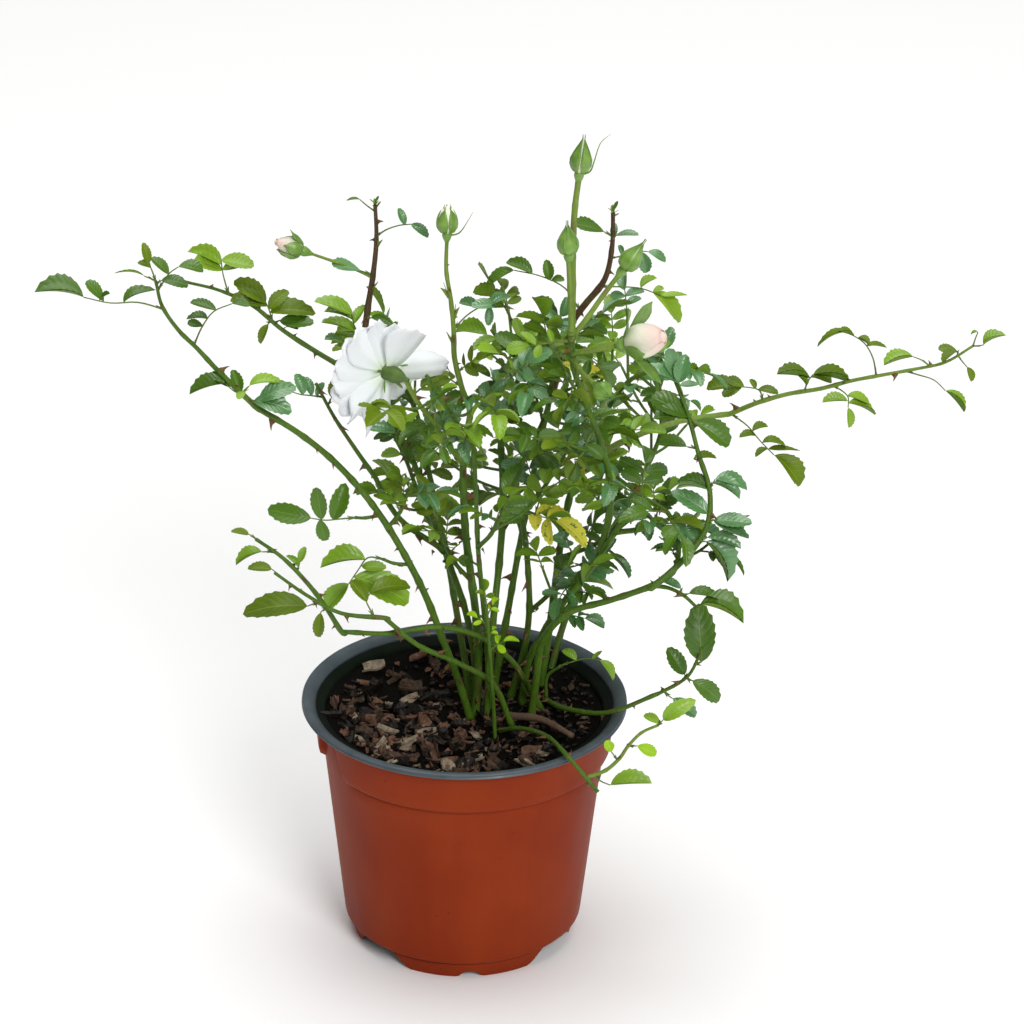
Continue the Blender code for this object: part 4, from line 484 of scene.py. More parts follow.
class Plan:
    """All stems, leaves, buds and blooms, each with the node that it belongs to."""

    def __init__(self):
        self.stems, self.twigs, self.leaves, self.buds, self.blooms = {}, [], [], [], []
        self.crowd = Crowd()

    def stem(self, name, stem_id, nodes, width):
        self.stems[name] = dict(nodes=nodes, width=width)
        self.crowd.add_stem(stem_id, nodes, width)

    def twig(self, owner, stem_id, nodes, width):
        self.twigs.append(dict(owner=owner, nodes=nodes, width=width))
        self.crowd.add_stem(stem_id, nodes, width)

    def frond(self, owner, share, length, face, course, *rows):
        """A leaf given leaflet by leaflet: any that would touch something is made shorter."""
        rib = grow(along(self.stems[owner]["nodes"], share)[0], length, course, max(length / 3, 6))
        normal = bearing(270, face)
        own = {taken[0] for taken in self.crowd.taken if taken[0][0] == owner}
        stems = {who for who in own if who[1] in ("stem", "shoot")}
        if self.crowd.stem_meets(rib, RACHIS_WIDTH, own):
            return
        kept = []
        for share, heading, rise, length in rows:
            out = bearing(heading, rise)
            flat = normal - out * normal.dot(out)
            flat = flat.normalized() if flat.length > 0.15 else out.orthogonal().normalized()
            root, ahead = along(rib, share)
            hand = 0 if share == 1 else 1 if out.dot(ahead.cross(normal)) > 0 else -1
            for shorter in (1.0, 0.86, 0.74, 0.62):
                leaflet = dict(hand=hand, root=root, ahead=out, normal=flat,
                               length=length * shorter)
                if self.clear(leaflet, stems):
                    kept.append(leaflet)
                    break
        if kept and kept[-1]["hand"] == 0:
            self.keep_leaf(owner, rib, normal, kept, True)

    def leaf(self, owner, parent_id, at, out, size, dice):
        """A leaf, left out where its rib, its tip or most of its leaflets would touch."""
        bow = Vector((dice.uniform(-0.1, 0.1), dice.uniform(-0.1, 0.1), -0.18))
        rib = [at, at + (out + bow).normalized() * (size * 0.95) * MM]
        lean = Vector((dice.uniform(-0.35, 0.35), dice.uniform(-0.45, 0.25), 1.0))
        normal = lean - out * lean.dot(out)
        normal = normal.normalized() if normal.length > 0.2 else out.orthogonal().normalized()
        if self.crowd.stem_meets(rib, RACHIS_WIDTH, {parent_id}):
            return False
        leaflets = []
        for hand in (1, -1, 0):
            root, ahead = pair_leaflet(rib, 0.5, hand, normal) if hand else end_leaflet(rib)
            leaflets.append(dict(hand=hand, root=root, ahead=ahead, normal=normal,
                                 length=size * 0.76 if hand else size))
        kept = [leaflet for leaflet in leaflets if self.clear(leaflet)]
        if leaflets[-1] not in kept or len(kept) < 2:
            return False
        self.keep_leaf(owner, rib, normal, kept, False)
        return True

    def keep_leaf(self, owner, rib, normal, leaflets, placed):
        self.leaves.append(dict(owner=owner, rib=rib, normal=normal, leaflets=leaflets,
                                placed=placed))
        leaf_id = (owner, "leaf", len(self.leaves))
        self.crowd.add_stem(leaf_id, rib, RACHIS_WIDTH)
        for leaflet in leaflets:
            self.crowd.add(leaf_id, blade(leaflet, LEAF_THICKNESS))

    def clear(self, leaflet, ignore=()):
        """Whether a leaflet keeps clear of everything that already stands."""
        reach = leaflet["ahead"] * leaflet["length"] * MM
        if in_pot(leaflet["root"] + reach) or in_pot(leaflet["root"] + reach / 2):
            return False
        return not self.crowd.meets(blade(leaflet, LEAF_THICKNESS + 2 * KEEP_CLEAR, 1.2), ignore)

    def leafy(self, owner, stem_id, nodes, size, bare, leaf_to, tip, dice):
        """Leaves at a stem's nodes, each turned on by the golden angle from the last."""
        turn = dice.uniform(0, tau)
        last = len(nodes) - 1
        for i in range(1, last + 1):
            share = i / last
            if share < bare or share > leaf_to or (i == last and tip != "leaf"):
                turn += GOLDEN_ANGLE
                dice.random()
                continue
            at, ahead = along(nodes, share)
            grown = size * dice.uniform(0.82, 1.15)
            if i == last:
                self.leaf(owner, stem_id, at, ahead, grown, dice)
                continue
            turn += GOLDEN_ANGLE
            for again in range(4):
                aside = square_to(ahead, turn + again * 0.9)
                out = (ahead * 0.5 + aside * 0.9 + UP * 0.25).normalized()
                if self.leaf(owner, stem_id, at, out, grown, dice):
                    break

    def side_twigs(self, owner, nodes, count, size, dice):
        """Twigs off a spray's stem, by the seeded rule, with leaves of their own."""
        for k in range(count):
            at, ahead = along(nodes, 0.2 + 0.65 * (k + dice.random() * 0.6) / count)
            for again in range(4):
                aside = square_to(ahead, dice.uniform(0, tau))
                out = (ahead * 0.5 + aside * 0.95).normalized()
                length = size * dice.uniform(1.8, 2.6)
                twig = [at]
                for lift in (0.1, 0.45):
                    twig.append(twig[-1] + (out + UP * lift).normalized() * length * 0.5 * MM)
                if not self.crowd.stem_meets(twig[1:], TWIG_WIDTH, {(owner, "stem")}):
                    twig_id = (owner, "twig", len(self.twigs))
                    self.twig(owner, twig_id, twig, TWIG_WIDTH)
                    self.leafy(owner, twig_id, twig, size * 0.95, 0.3, 1.0, "leaf", dice)
                    break

    def tip(self, owner, nodes, kind, width):
        at, ahead = along(nodes, 1.0)
        if kind == "bloom":
            self.blooms.append(dict(owner=owner, at=at, ahead=ahead))
        elif kind in BUDS:
            self.buds.append(dict(owner=owner, at=at, ahead=ahead, kind=kind, width=width))


def plan_plant():
    """Grow the canes and boughs first, then every spray's stems, then the leaves."""
    plan = Plan()
    for name, (foot, length, width, course) in CANES.items():
        start = Vector((foot[0] * MM, foot[1] * MM, (SOIL_TOP + GAP) * MM))
        plan.stem(name, name, grow(start, length, course, CANE_INTERNODE), width)
    for name, (cane, share, length, width, course) in BOUGHS.items():
        start = stem_foot(plan.stems[cane], share, bearing(*course[:2]), width[0])
        plan.stem(name, name, grow(start, length, course, CANE_INTERNODE), width)
    shoots = {}
    for name, s in SPRAYS.items():
        if isinstance(s["on"], tuple):
            start = Vector((s["on"][0] * MM, s["on"][1] * MM, (SOIL_TOP + GAP) * MM))
        else:
            start = stem_foot(plan.stems[s["on"]], s["at"], bearing(*s["course"][:2]),
                              s["width"][0])
        nodes = grow(start, s["length"], s["course"], s["internode"])
        plan.stem(name, (name, "stem"), nodes, s["width"])
        for k, (share, length, width, course, _) in enumerate(s["shoots"]):
            shoots[name, k] = grow(along(nodes, share)[0], length, course, SHOOT_INTERNODE)
            plan.twig(name, (name, "shoot", k), shoots[name, k], width)
    for (name, k), nodes in shoots.items():
        _, _, width, _, tip = SPRAYS[name]["shoots"][k]
        plan.tip(name, nodes, tip, width[1])
    for name, s in SPRAYS.items():
        plan.tip(name, plan.stems[name]["nodes"], s["tip"], s["width"][1])
    # Leaves keep clear of every bud and bloom.
    for kind, made in ((bud_pieces, plan.buds), (bloom_pieces, plan.blooms)):
        for flower in made:
            for bm in kind(flower):
                plan.crowd.add((flower["owner"], "blossom"), bm)
    for name, s in SPRAYS.items():
        for k, shoot in enumerate(s["shoots"]):
            if shoot[-1] == "leaf":
                dice = random.Random(1000 + 37 * k + sum(map(ord, name)))
                plan.leafy(name, (name, "shoot", k), shoots[name, k], 12, 0.3, 1.0, "leaf", dice)
        for row in s["fronds"]:
            plan.frond(name, *row)
    for index, (name, s) in enumerate(SPRAYS.items()):
        dice = random.Random(SEEDS.get(name, 11 + index))
        nodes = plan.stems[name]["nodes"]
        plan.side_twigs(name, nodes, s["twigs"], s["leaf"], dice)
        plan.leafy(name, (name, "stem"), nodes, s["leaf"], s["bare"], s["leaf_to"], s["tip"], dice)
    return plan


# --- Blossom, as room kept free ---

def egg(at, ahead, length, width, segments=6, rings=4, point=0.55):
    """A bud or hip: a sphere drawn out along its stem and pointed at its far end."""
    bm = bmesh.new()
    bmesh.ops.create_uvsphere(bm, u_segments=segments, v_segments=rings, radius=1.0)
    turn = ahead.to_track_quat("Z", "Y")
    for vert in bm.verts:
        x, y, z = vert.co
        narrow = 1 - point * max(z, 0) ** 1.5
        local = Vector((x * width / 2 * narrow, y * width / 2 * narrow, (z + 1) * length / 2))
        vert.co = at + (turn @ local) * MM
    return bm


def bud_pieces(bud):
    """The hip, the bud and its sepals, which on a closed bud lie along it."""
    length, width, sepal, open_share = BUDS[bud["kind"]]
    at, ahead = bud["at"], bud["ahead"]
    seat = at + ahead * 4.0 * MM
    pieces = [egg(at - ahead * 2.0 * MM, ahead, 9.0, max(width * 0.5, 5.0), 5, 3, 0.0),
              egg(seat, ahead, length, width)]
    for k in range(5 if open_share else 0):
        around = square_to(ahead, tau * k / 5)
        lift = ahead * (1.0 - 0.45 * open_share) + around * (0.35 + 0.6 * open_share)
        pieces.append(blade(dict(root=seat + (ahead * 1.2 + around * width * 0.18) * MM,
                                 ahead=lift.normalized(), normal=around, length=sepal,
                                 width=4.6), 1.2))
    return pieces


def bloom_pieces(bloom):
    """The hip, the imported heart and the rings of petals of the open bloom."""
    at = bloom["at"]
    seat = at + BLOOM_FACE * 6.5 * MM
    pieces = [egg(at - BLOOM_FACE * 3.0 * MM, BLOOM_FACE, 12.0, 9.0, point=0.0),
              egg(seat, BLOOM_FACE, 20.0, 24.0, segments=8, point=0.1)]
    for count, length, width, lift, shift in BLOOM_PETALS:
        for k in range(count):
            out, normal = petal_way(BLOOM_FACE, tau * (k + shift) / count, radians(lift))
            normal.rotate(Quaternion(out, PETAL_TWIST))
            root = seat + BLOOM_FACE * (3.0 + 4.0 * shift) * MM
            pieces.append(blade(dict(root=root, ahead=out, normal=normal, length=length,
                                     width=width, widest=PETAL_WIDEST), 1.6))
    return pieces


def petal_way(face, angle, raised):
    """The way a petal goes out from the heart, and the way its inner side faces."""
    around = square_to(face, angle)
    return (around * cos(raised) + face * sin(raised), face * cos(raised) - around * sin(raised))


# --- Looks: how each spray is coloured ---

# Leaf finishes: two greens that a leaf lies between, its veins, roughness and gloss.
LEAF_FINISHES = {
    "leaf_deep": ((0.036, 0.100, 0.002), (0.080, 0.185, 0.006), (0.160, 0.260, 0.050), 0.36, 0.45),
    # leaf_blue: its greens and veins carry extra blue, a painted blue-white sheen of the sky on
    # glossy leaf tops.
    "leaf_blue": ((0.042, 0.150, 0.022), (0.108, 0.275, 0.090), (0.200, 0.370, 0.180), 0.30, 0.9),
    "leaf_olive": ((0.070, 0.128, 0.001), (0.150, 0.235, 0.003), (0.230, 0.300, 0.030), 0.42, 0.3),
    "leaf_fresh": ((0.130, 0.265, 0.005), (0.240, 0.410, 0.018), (0.320, 0.480, 0.080), 0.36, 0.5),
    "leaf_new": ((0.260, 0.480, 0.002), (0.400, 0.650, 0.006), (0.480, 0.700, 0.050), 0.40, 0.4),
    "leaf_yellow": ((0.420, 0.440, 0.030), (0.540, 0.500, 0.050), (0.580, 0.580, 0.150), 0.5, 0.2),
    "leaf_under": ((0.090, 0.185, 0.005), (0.165, 0.285, 0.018), (0.230, 0.340, 0.070), 0.6, 0.1),
}
# How often each leaf finish is dealt: in the crown, and where it grows otherwise.
# blue: leaves whose greens carry that painted sheen.
CROWN = dict(deep=4, blue=5, olive=3, fresh=4)
LEFT_SIDE = dict(olive=2, fresh=3, deep=4, blue=3)
TRAILING = dict(fresh=6, olive=3, blue=1)
BRIGHT = dict(new=8, fresh=1)
RIGHT_LOW = dict(blue=5, deep=4, olive=1)
SPRAY_LEAVES = {
    "spray_far_left": LEFT_SIDE, "spray_left_upper": LEFT_SIDE, "spray_left_leaf": LEFT_SIDE,
    "spray_left_bud": LEFT_SIDE, "spray_low_left": LEFT_SIDE, "spray_trailing_long": TRAILING,
    "spray_trailing_low": TRAILING, "spray_hanging": BRIGHT, "spray_new_shoot": BRIGHT,
    "spray_right_low": RIGHT_LOW, "spray_right_branch": RIGHT_LOW,
    "spray_long": dict(olive=4, fresh=4, deep=1),
    "spray_arch_leaf": dict(fresh=5, new=2, olive=2, deep=2),
    "spray_lower_right": dict(deep=5, fresh=3, olive=2, blue=2),
}
BROWN_STEMS = ("spray_left_bud", "spray_dark_top")
PALE_STEMS = ("spray_long", "spray_hanging", "spray_second_bud", "spray_bloom")
PALE_TWIGS = (*PALE_STEMS, "spray_candelabra", "spray_left_bud")
PALE_CANES = ("bough_long",)


# --- Materials ---

class Finish:
    """A material and short ways to wire its nodes."""

    def __init__(self, name, roughness=0.5, gloss=0.5):
        self.material = bpy.data.materials.new(name)
        self.material.use_nodes = True
        self.nodes = self.material.node_tree.nodes
        self.links = self.material.node_tree.links
        self.shader = self.nodes["Principled BSDF"]
        self.shader.inputs["Roughness"].default_value = roughness
        self.shader.inputs["Specular IOR Level"].default_value = gloss

    def node(self, kind, **values):
        made = self.nodes.new(kind)
        for key, value in values.items():
            if key in made.inputs:
                made.inputs[key].default_value = value
            else:
                setattr(made, key, value)
        return made

    def link(self, out, to):
        self.links.new(out, to)

    def place(self, source="Object"):
        return self.node("ShaderNodeTexCoord").outputs[source]

    def squeezed(self, scale, source="Object"):
        made = self.node("ShaderNodeMapping", Scale=scale)
        self.link(self.place(source), made.inputs["Vector"])
        return made.outputs[0]

    def uv(self):
        made = self.node("ShaderNodeSeparateXYZ")
        self.link(self.place("UV"), made.inputs[0])
        return made.outputs

    def noise(self, scale, detail=3.0, place=None):
        made = self.node("ShaderNodeTexNoise", Scale=scale, Detail=detail)
        self.link(place or self.place(), made.inputs["Vector"])
        return made.outputs["Fac"]

    def ramp(self, value, *stops):
        made = self.node("ShaderNodeValToRGB")
        band = made.color_ramp.elements
        while len(band) < len(stops):
            band.new(0.5)
        for element, (at, colour) in zip(band, stops):
            element.position = at
            element.color = (*colour, 1.0)
        self.link(value, made.inputs["Fac"])
        return made.outputs["Color"]

    def feed(self, made, sockets, values):
        """Link or set each value; a colour is three numbers."""
        for socket, value in zip(sockets, values):
            if isinstance(value, bpy.types.NodeSocket):
                self.link(value, made.inputs[socket])
            else:
                made.inputs[socket].default_value = \
                    (*value, 1.0) if isinstance(value, tuple) else value

    def mix(self, share, first, second):
        made = self.node("ShaderNodeMix", data_type="RGBA")
        self.feed(made, (0, 6, 7), (share, first, second))
        return made.outputs[2]

    def maths(self, kind, first, second=0.0):
        made = self.node("ShaderNodeMath", operation=kind)
        self.feed(made, (0, 1), (first, second))
        return made.outputs[0]

    def weighed(self, first, weight, second, other):
        """The sum of two values, each times its weight."""
        return self.maths("ADD", self.maths("MULTIPLY", first, weight),
                          self.maths("MULTIPLY", second, other))

    def between(self, value, low, high, new_low=0.0, new_high=1.0):
        made = self.node("ShaderNodeMapRange")
        self.link(value, made.inputs["Value"])
        self.feed(made, ("From Min", "From Max", "To Min", "To Max"),
                  (low, high, new_low, new_high))
        return made.outputs["Result"]

    def attribute(self, name):
        return self.node("ShaderNodeAttribute", attribute_name=name).outputs["Fac"]

    def colour(self, value):
        self.link(value, self.shader.inputs["Base Color"])

    def rough(self, value):
        self.link(value, self.shader.inputs["Roughness"])

    def bump(self, height, strength, distance):
        made = self.node("ShaderNodeBump", Strength=strength, Distance=distance)
        self.link(height, made.inputs["Height"])
        self.link(made.outputs["Normal"], self.shader.inputs["Normal"])


def leaf_finish(name):
    """A leaf blade: two greens, a pale midrib and side veins, and quilting between them."""
    low, high, vein, roughness, gloss = LEAF_FINISHES[name]
    made = Finish(name, roughness, gloss)
    blotch = made.noise(90.0, 2.0)
    share = made.weighed(blotch, 0.55, made.attribute("tone"), 0.6)
    green = made.mix(made.between(share, 0.25, 0.9), low, high)
    if name == "leaf_yellow":
        spots = made.between(made.noise(420.0, 3.0), 0.6, 0.66)
        green = made.mix(spots, green, (0.10, 0.16, 0.02))
    uv = made.uv()
    across = made.maths("ABSOLUTE", made.maths("SUBTRACT", uv["X"], 0.5))
    midrib = made.between(across, 0.012, 0.035, 1.0, 0.0)
    slant = made.weighed(uv["Y"], 7.0, across, -4.2)
    wave = made.maths("PINGPONG", slant, 0.5)
    veins = made.between(wave, 0.03, 0.10, 0.32, 0.0)
    lines = made.maths("MAXIMUM", midrib, veins)
    made.colour(made.mix(made.maths("MULTIPLY", lines, 0.6), green, vein))
    made.bump(made.maths("SUBTRACT", made.maths("MULTIPLY", wave, 1.4), lines), 0.28, 0.0004)
    made.rough(made.between(made.noise(300.0, 2.0), 0.3, 0.7, roughness - 0.06, roughness + 0.1))
    return made.material


def bark_finish(name, low, high, scar, roughness=0.5):
    """Green bark: long streaks, small raised pores and brown scars."""
    made = Finish(name, roughness, 0.25)
    streaks = made.noise(900.0, 3.0, made.squeezed((1.0, 1.0, 0.16)))
    patches = made.noise(38.0, 4.0)
    pores = made.between(made.noise(1500.0, 2.0), 0.64, 0.72)
    share = made.weighed(streaks, 0.5, patches, 0.6)
    green = made.mix(made.between(share, 0.35, 0.75), low, high)
    worn = made.between(made.noise(70.0, 5.0), 0.60, 0.72, 0.0, 0.75)
    green = made.mix(worn, green, scar)
    made.colour(made.mix(made.maths("MULTIPLY", pores, 0.35), green, (0.30, 0.30, 0.16)))
    made.bump(made.maths("ADD", streaks, made.maths("MULTIPLY", pores, 0.8)), 0.4, 0.0005)
    made.rough(made.between(patches, 0.3, 0.7, roughness - 0.08, roughness + 0.12))
    return made.material


# Plain finishes: two shades, roughness, scale of the grain, bump, its depth, and gloss.
PLAIN_FINISHES = {
    "prickle_brown": ((0.075, 0.035, 0.014), (0.17, 0.10, 0.030), 0.5, 600, 0.2, 0.0003, 0.25),
    "stalk_green": ((0.075, 0.13, 0.016), (0.15, 0.21, 0.04), 0.5, 200, 0.2, 0.0003, 0.25),
    "sepal_green": ((0.085, 0.20, 0.016), (0.20, 0.36, 0.050), 0.38, 160, 0.2, 0.0003, 0.6),
    "bract_green": ((0.13, 0.20, 0.02), (0.26, 0.33, 0.06), 0.45, 200, 0.2, 0.0003, 0.25),
    "hip_green": ((0.060, 0.120, 0.022), (0.125, 0.200, 0.045), 0.45, 160, 0.2, 0.0003, 0.25),
    "stamen_yellow": ((0.62, 0.40, 0.04), (0.75, 0.55, 0.10), 0.7, 400, 0.2, 0.0003, 0.25),
    # pot_lining_dark: the pot's black plastic inside, made darker still as painted shade under the
    # rim.
    "pot_lining_dark": ((0.003, 0.006, 0.003), (0.007, 0.011, 0.007), 0.45, 60, 0.05, 0.0003,
                        0.06),
    # potting_mix: the mix's own dark brown, darkened further to near black as painted shade in the
    # pot's hollow.
    "potting_mix": ((0.0012, 0.0010, 0.0006), (0.0070, 0.0052, 0.0036), 0.9, 900, 0.9, 0.002,
                    0.08),
    "chip_dark": ((0.003, 0.002, 0.0015), (0.014, 0.009, 0.006), 0.5, 500, 0.6, 0.0008, 0.25),
    "chip_brown": ((0.028, 0.016, 0.010), (0.085, 0.050, 0.030), 0.7, 500, 0.6, 0.0008, 0.25),
    "chip_red": ((0.085, 0.040, 0.025), (0.180, 0.095, 0.060), 0.75, 500, 0.6, 0.0008, 0.25),
    "chip_tan": ((0.16, 0.12, 0.08), (0.34, 0.28, 0.20), 0.8, 500, 0.6, 0.0008, 0.25),
}


def plain_finish(name):
    """A finish whose colour wanders between two shades, with a fine grain."""
    low, high, roughness, scale, bump, depth, gloss = PLAIN_FINISHES[name]
    made = Finish(name, roughness, gloss)
    grain = made.noise(scale, 4.0)
    made.colour(made.mix(made.between(grain, 0.3, 0.7), low, high))
    made.rough(made.between(grain, 0.3, 0.7, roughness - 0.06, roughness + 0.06))
    made.bump(grain, bump, depth)
    return made.material


def petal_finish(name, base, middle, edge, turn=0.35):
    """A petal: its foot, middle and edge shade into each other, with fine veins fanning out."""
    made = Finish(name, 0.6, 0.2)
    shade = made.ramp(made.uv()["Y"], (0.0, base), (turn, middle), (1.0, edge))
    fan = made.noise(16.0, 2.0, made.squeezed((3.0, 0.25, 1.0), "UV"))
    lines = made.between(fan, 0.4, 0.62)
    made.colour(made.mix(made.maths("MULTIPLY", lines, 0.25), shade, (0.72, 0.78, 0.76)))
    made.bump(lines, 0.25, 0.0006)
    made.shader.inputs["Subsurface Weight"].default_value = 0.15
    made.shader.inputs["Subsurface Radius"].default_value = (0.004, 0.004, 0.003)
    return made.material


def pot_finish():
    """Formed terracotta plastic: satin, faintly streaked down the wall, with a few dark specks."""
    made = Finish("pot_terracotta", 0.5, 0.08)
    streaks = made.noise(55.0, 4.0, made.squeezed((1.0, 1.0, 0.12)))
    share = made.weighed(streaks, 0.35, made.noise(16.0, 4.0), 0.65)
    clay = made.mix(made.between(share, 0.38, 0.62), (0.205, 0.0215, 0.0036),
                    (0.245, 0.031, 0.0056))
    smudge = made.between(made.noise(34.0, 5.0), 0.62, 0.74, 0.0, 0.3)
    clay = made.mix(smudge, clay, (0.20, 0.035, 0.016))
    specks = made.between(made.noise(300.0, 2.0), 0.755, 0.775)
    clay = made.mix(made.maths("MULTIPLY", specks, 0.75), clay, (0.05, 0.010, 0.006))
    made.colour(clay)
    made.rough(made.between(streaks, 0.3, 0.7, 0.42, 0.56))
    made.bump(made.noise(700.0, 2.0), 0.06, 0.0002)
    return made.material


def lip_finish():
    """The pot's blue-grey lip, scuffed a little."""
    made = Finish("pot_lip_grey", 0.4, 0.4)
    cloud = made.noise(60.0, 5.0)
    made.colour(made.mix(made.between(cloud, 0.35, 0.7), (0.052, 0.070, 0.082),
                         (0.082, 0.104, 0.118)))
    made.rough(made.between(made.noise(240.0, 3.0), 0.3, 0.7, 0.32, 0.5))
    made.bump(cloud, 0.05, 0.0003)
    return made.material


# --- Shapes ---

def shape_of(bm, name, outward=True, smooth=True):
    """Store a finished bmesh as a mesh that pieces are copied from."""
    if outward:
        bmesh.ops.recalc_face_normals(bm, faces=bm.faces)
    mesh = bpy.data.meshes.new(name)
    for face in bm.faces:
        face.smooth = smooth
    bm.to_mesh(mesh)
    bm.free()
    return mesh


def in_scene(name, data):
    """A new object of this data, in the scene."""
    made = bpy.data.objects.new(name, data)
    bpy.context.scene.collection.objects.link(made)
    return made


class Heap:
    """A joined piece: copies of shapes are added to one bmesh, then made one object."""

    def __init__(self, name, finish, slot, replaced=()):
        self.name, self.finish, self.slot, self.replaced = name, finish, slot, replaced
        self.bm = bmesh.new()
        self.bm.verts.layers.float.new("tone")

    def add(self, shape, matrix=None, tone=0.5):
        start = len(self.bm.verts)
        self.bm.from_mesh(shape)
        self.bm.verts.ensure_lookup_table()
        layer = self.bm.verts.layers.float["tone"]
        for vert in self.bm.verts[start:]:
            if matrix:
                vert.co = matrix @ vert.co
            vert[layer] = tone

    def add_bmesh(self, bm, tone=0.5, stand=None):
        if stand:
            bmesh.ops.transform(bm, matrix=stand, verts=bm.verts)
        mesh = shape_of(bm, "part", outward=False)
        self.add(mesh, tone=tone)
        bpy.data.meshes.remove(mesh)

    def finished(self):
        mesh = bpy.data.meshes.new(self.name)
        self.bm.to_mesh(mesh)
        self.bm.free()
        mesh.materials.append(self.finish)
        piece = in_scene(self.name, mesh)
        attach(piece, "root")
        if self.replaced:
            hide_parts(*self.replaced)


def lone_piece(name, finish, slot, node, bm):
    """A piece made of one bmesh alone, in place of one node."""
    bmesh.ops.recalc_face_normals(bm, faces=bm.faces)
    heap = Heap(name, finish, slot, (node,))
    heap.add_bmesh(bm)
    heap.finished()


def place_at(root, ahead, normal, length, width=None, thick=None):
    """The matrix that lays a unit shape along ahead (its Y), facing normal (its Z)."""
    side = ahead.cross(normal).normalized()
    face = side.cross(ahead).normalized()
    turn = Matrix((side, ahead.normalized(), face)).transposed()
    size = Matrix.Diagonal((width or length, length, thick or length))
    return Matrix.Translation(root) @ (turn @ size).to_4x4()


def smooth_path(nodes, steps):
    """Points of a smooth curve through the nodes."""
    if len(nodes) < 3:
        return [nodes[0].lerp(nodes[-1], i / steps) for i in range(steps + 1)]
    before = nodes[0] * 2 - nodes[1]
    after = nodes[-1] * 2 - nodes[-2]
    knots = [before, *nodes, after]
    points = []
    for i in range(1, len(knots) - 2):
        a, b, c, d = knots[i - 1:i + 3]
        for k in range(steps):
            t = k / steps
            points.append(0.5 * ((2 * b) + (c - a) * t + (2 * a - 5 * b + 4 * c - d) * t * t
                                 + (3 * b - a - 3 * c + d) * t ** 3))
    points.append(nodes[-1].copy())
    return points


def next_ring(bm, edges):
    """Extrude a ring of edges: the new verts and the new ring."""
    made = bmesh.ops.extrude_edge_only(bm, edges=edges)["geom"]
    verts = [g for g in made if isinstance(g, bmesh.types.BMVert)]
    return verts, [g for g in made if isinstance(g, bmesh.types.BMEdge)
                   and all(v in verts for v in g.verts)]


def tube(points, radius, sides, flat=1.0):
    """A closed stem along the points; radius(share) gives its radius in metres."""
    bm = bmesh.new()
    bm.loops.layers.uv.new("UVMap")
    ring = bmesh.ops.create_circle(bm, cap_ends=True, segments=sides, radius=1.0)["verts"]
    edges = bm.edges[:]
    ahead = (points[1] - points[0]).normalized()
    turn = ahead.to_track_quat("Z", "Y")
    last = len(points) - 1
    for i, point in enumerate(points):
        if i:
            ring, edges = next_ring(bm, edges)
            leaving = (points[i + 1] - point) if i < last else point - points[i - 1]
            arriving = point - points[i - 1]
            tangent = (leaving.normalized() + arriving.normalized()).normalized()
            turn = ahead.rotation_difference(tangent) @ turn
            ahead = tangent
        size = radius(i / last)
        for k, vert in enumerate(ring):
            angle = tau * k / sides
            vert.co = point + turn @ (Vector((cos(angle), sin(angle) * flat, 0)) * size)
    bmesh.ops.edgeloop_fill(bm, edges=edges)
    bmesh.ops.recalc_face_normals(bm, faces=bm.faces)
    return bm


def leaf_width(t):
    """Half the width of a leaflet, as a share of its widest, from foot (0) to tip (1)."""
    return t ** 0.75 * max(1 - t, 0.0) ** 0.62 / 0.3897


def unit_sheet(columns, rows):
    """A flat sheet, one unit across and long, that a leaf, sepal or petal is bent from."""
    bm = bmesh.new()
    bm.loops.layers.uv.new("UVMap")
    bmesh.ops.create_grid(bm, x_segments=columns, y_segments=rows, size=0.5, calc_uvs=True)
    return bm


def leaflet_shape(name, fold, arch, curl, teeth=True, under=False):
    """A finely toothed rose leaflet, one unit long: folded at its midrib, arched to its tip."""
    columns, rows = (2, 7) if under else (4, 14)
    bm = unit_sheet(columns, rows)
    for vert in bm.verts:
        u, t = vert.co.x * 2, vert.co.y + 0.5
        row = round(t * rows)
        reach = leaf_width(t)
        along_leaf = t
        if under:
            reach *= 0.94
        elif teeth and abs(u) > 0.9 and 2 < row < rows:
            reach += 0.055 if row % 2 else -0.045
            along_leaf += 0.022 if row % 2 else -0.008
        half = 0.27 * reach
        lift = fold * abs(u) * reach * (1.0 - 0.35 * abs(u))
        drop = arch * along_leaf ** 2 - 0.03 * sin(pi * along_leaf)
        twist = curl * u * along_leaf * reach
        vert.co = Vector((u * half, along_leaf, lift - drop + twist))
        if under:
            vert.co.z -= 0.012 * min(reach, 1.0)
    bmesh.ops.remove_doubles(bm, verts=bm.verts, dist=0.0001)
    if under:
        bmesh.ops.reverse_faces(bm, faces=bm.faces)
    return shape_of(bm, name, outward=False)


def stipule_shape():
    """The pair of narrow wings at a leaf stalk's foot, one unit long, with free tips."""
    bm = unit_sheet(2, 5)
    for vert in bm.verts:
        u, t = vert.co.x * 2, vert.co.y + 0.5
        half = 0.10 + 0.16 * t + 0.10 * max(t - 0.6, 0.0)
        vert.co = Vector((u * half, t * (0.62 + 0.38 * abs(u)), 0.12 * abs(u) - 0.05))
    bmesh.ops.solidify(bm, geom=bm.faces[:], thickness=0.05)
    return shape_of(bm, "stipule")


def prickle_shape():
    """A rose prickle, one unit long, hooked down, on a long narrow seat."""
    points = [Vector((0, 0, -0.1)), Vector((0, 0, 0.18)), Vector((0, -0.05, 0.45)),
              Vector((0, -0.17, 0.75)), Vector((0, -0.36, 1.0))]
    sizes = (0.42, 0.30, 0.17, 0.09, 0.015)
    bm = tube(points, lambda share: sizes[round(share * 4)], 6)
    for vert in bm.verts:
        vert.co.x *= 0.45
        if vert.co.z < 0.3:
            vert.co.y *= 1.25
    return shape_of(bm, "prickle")


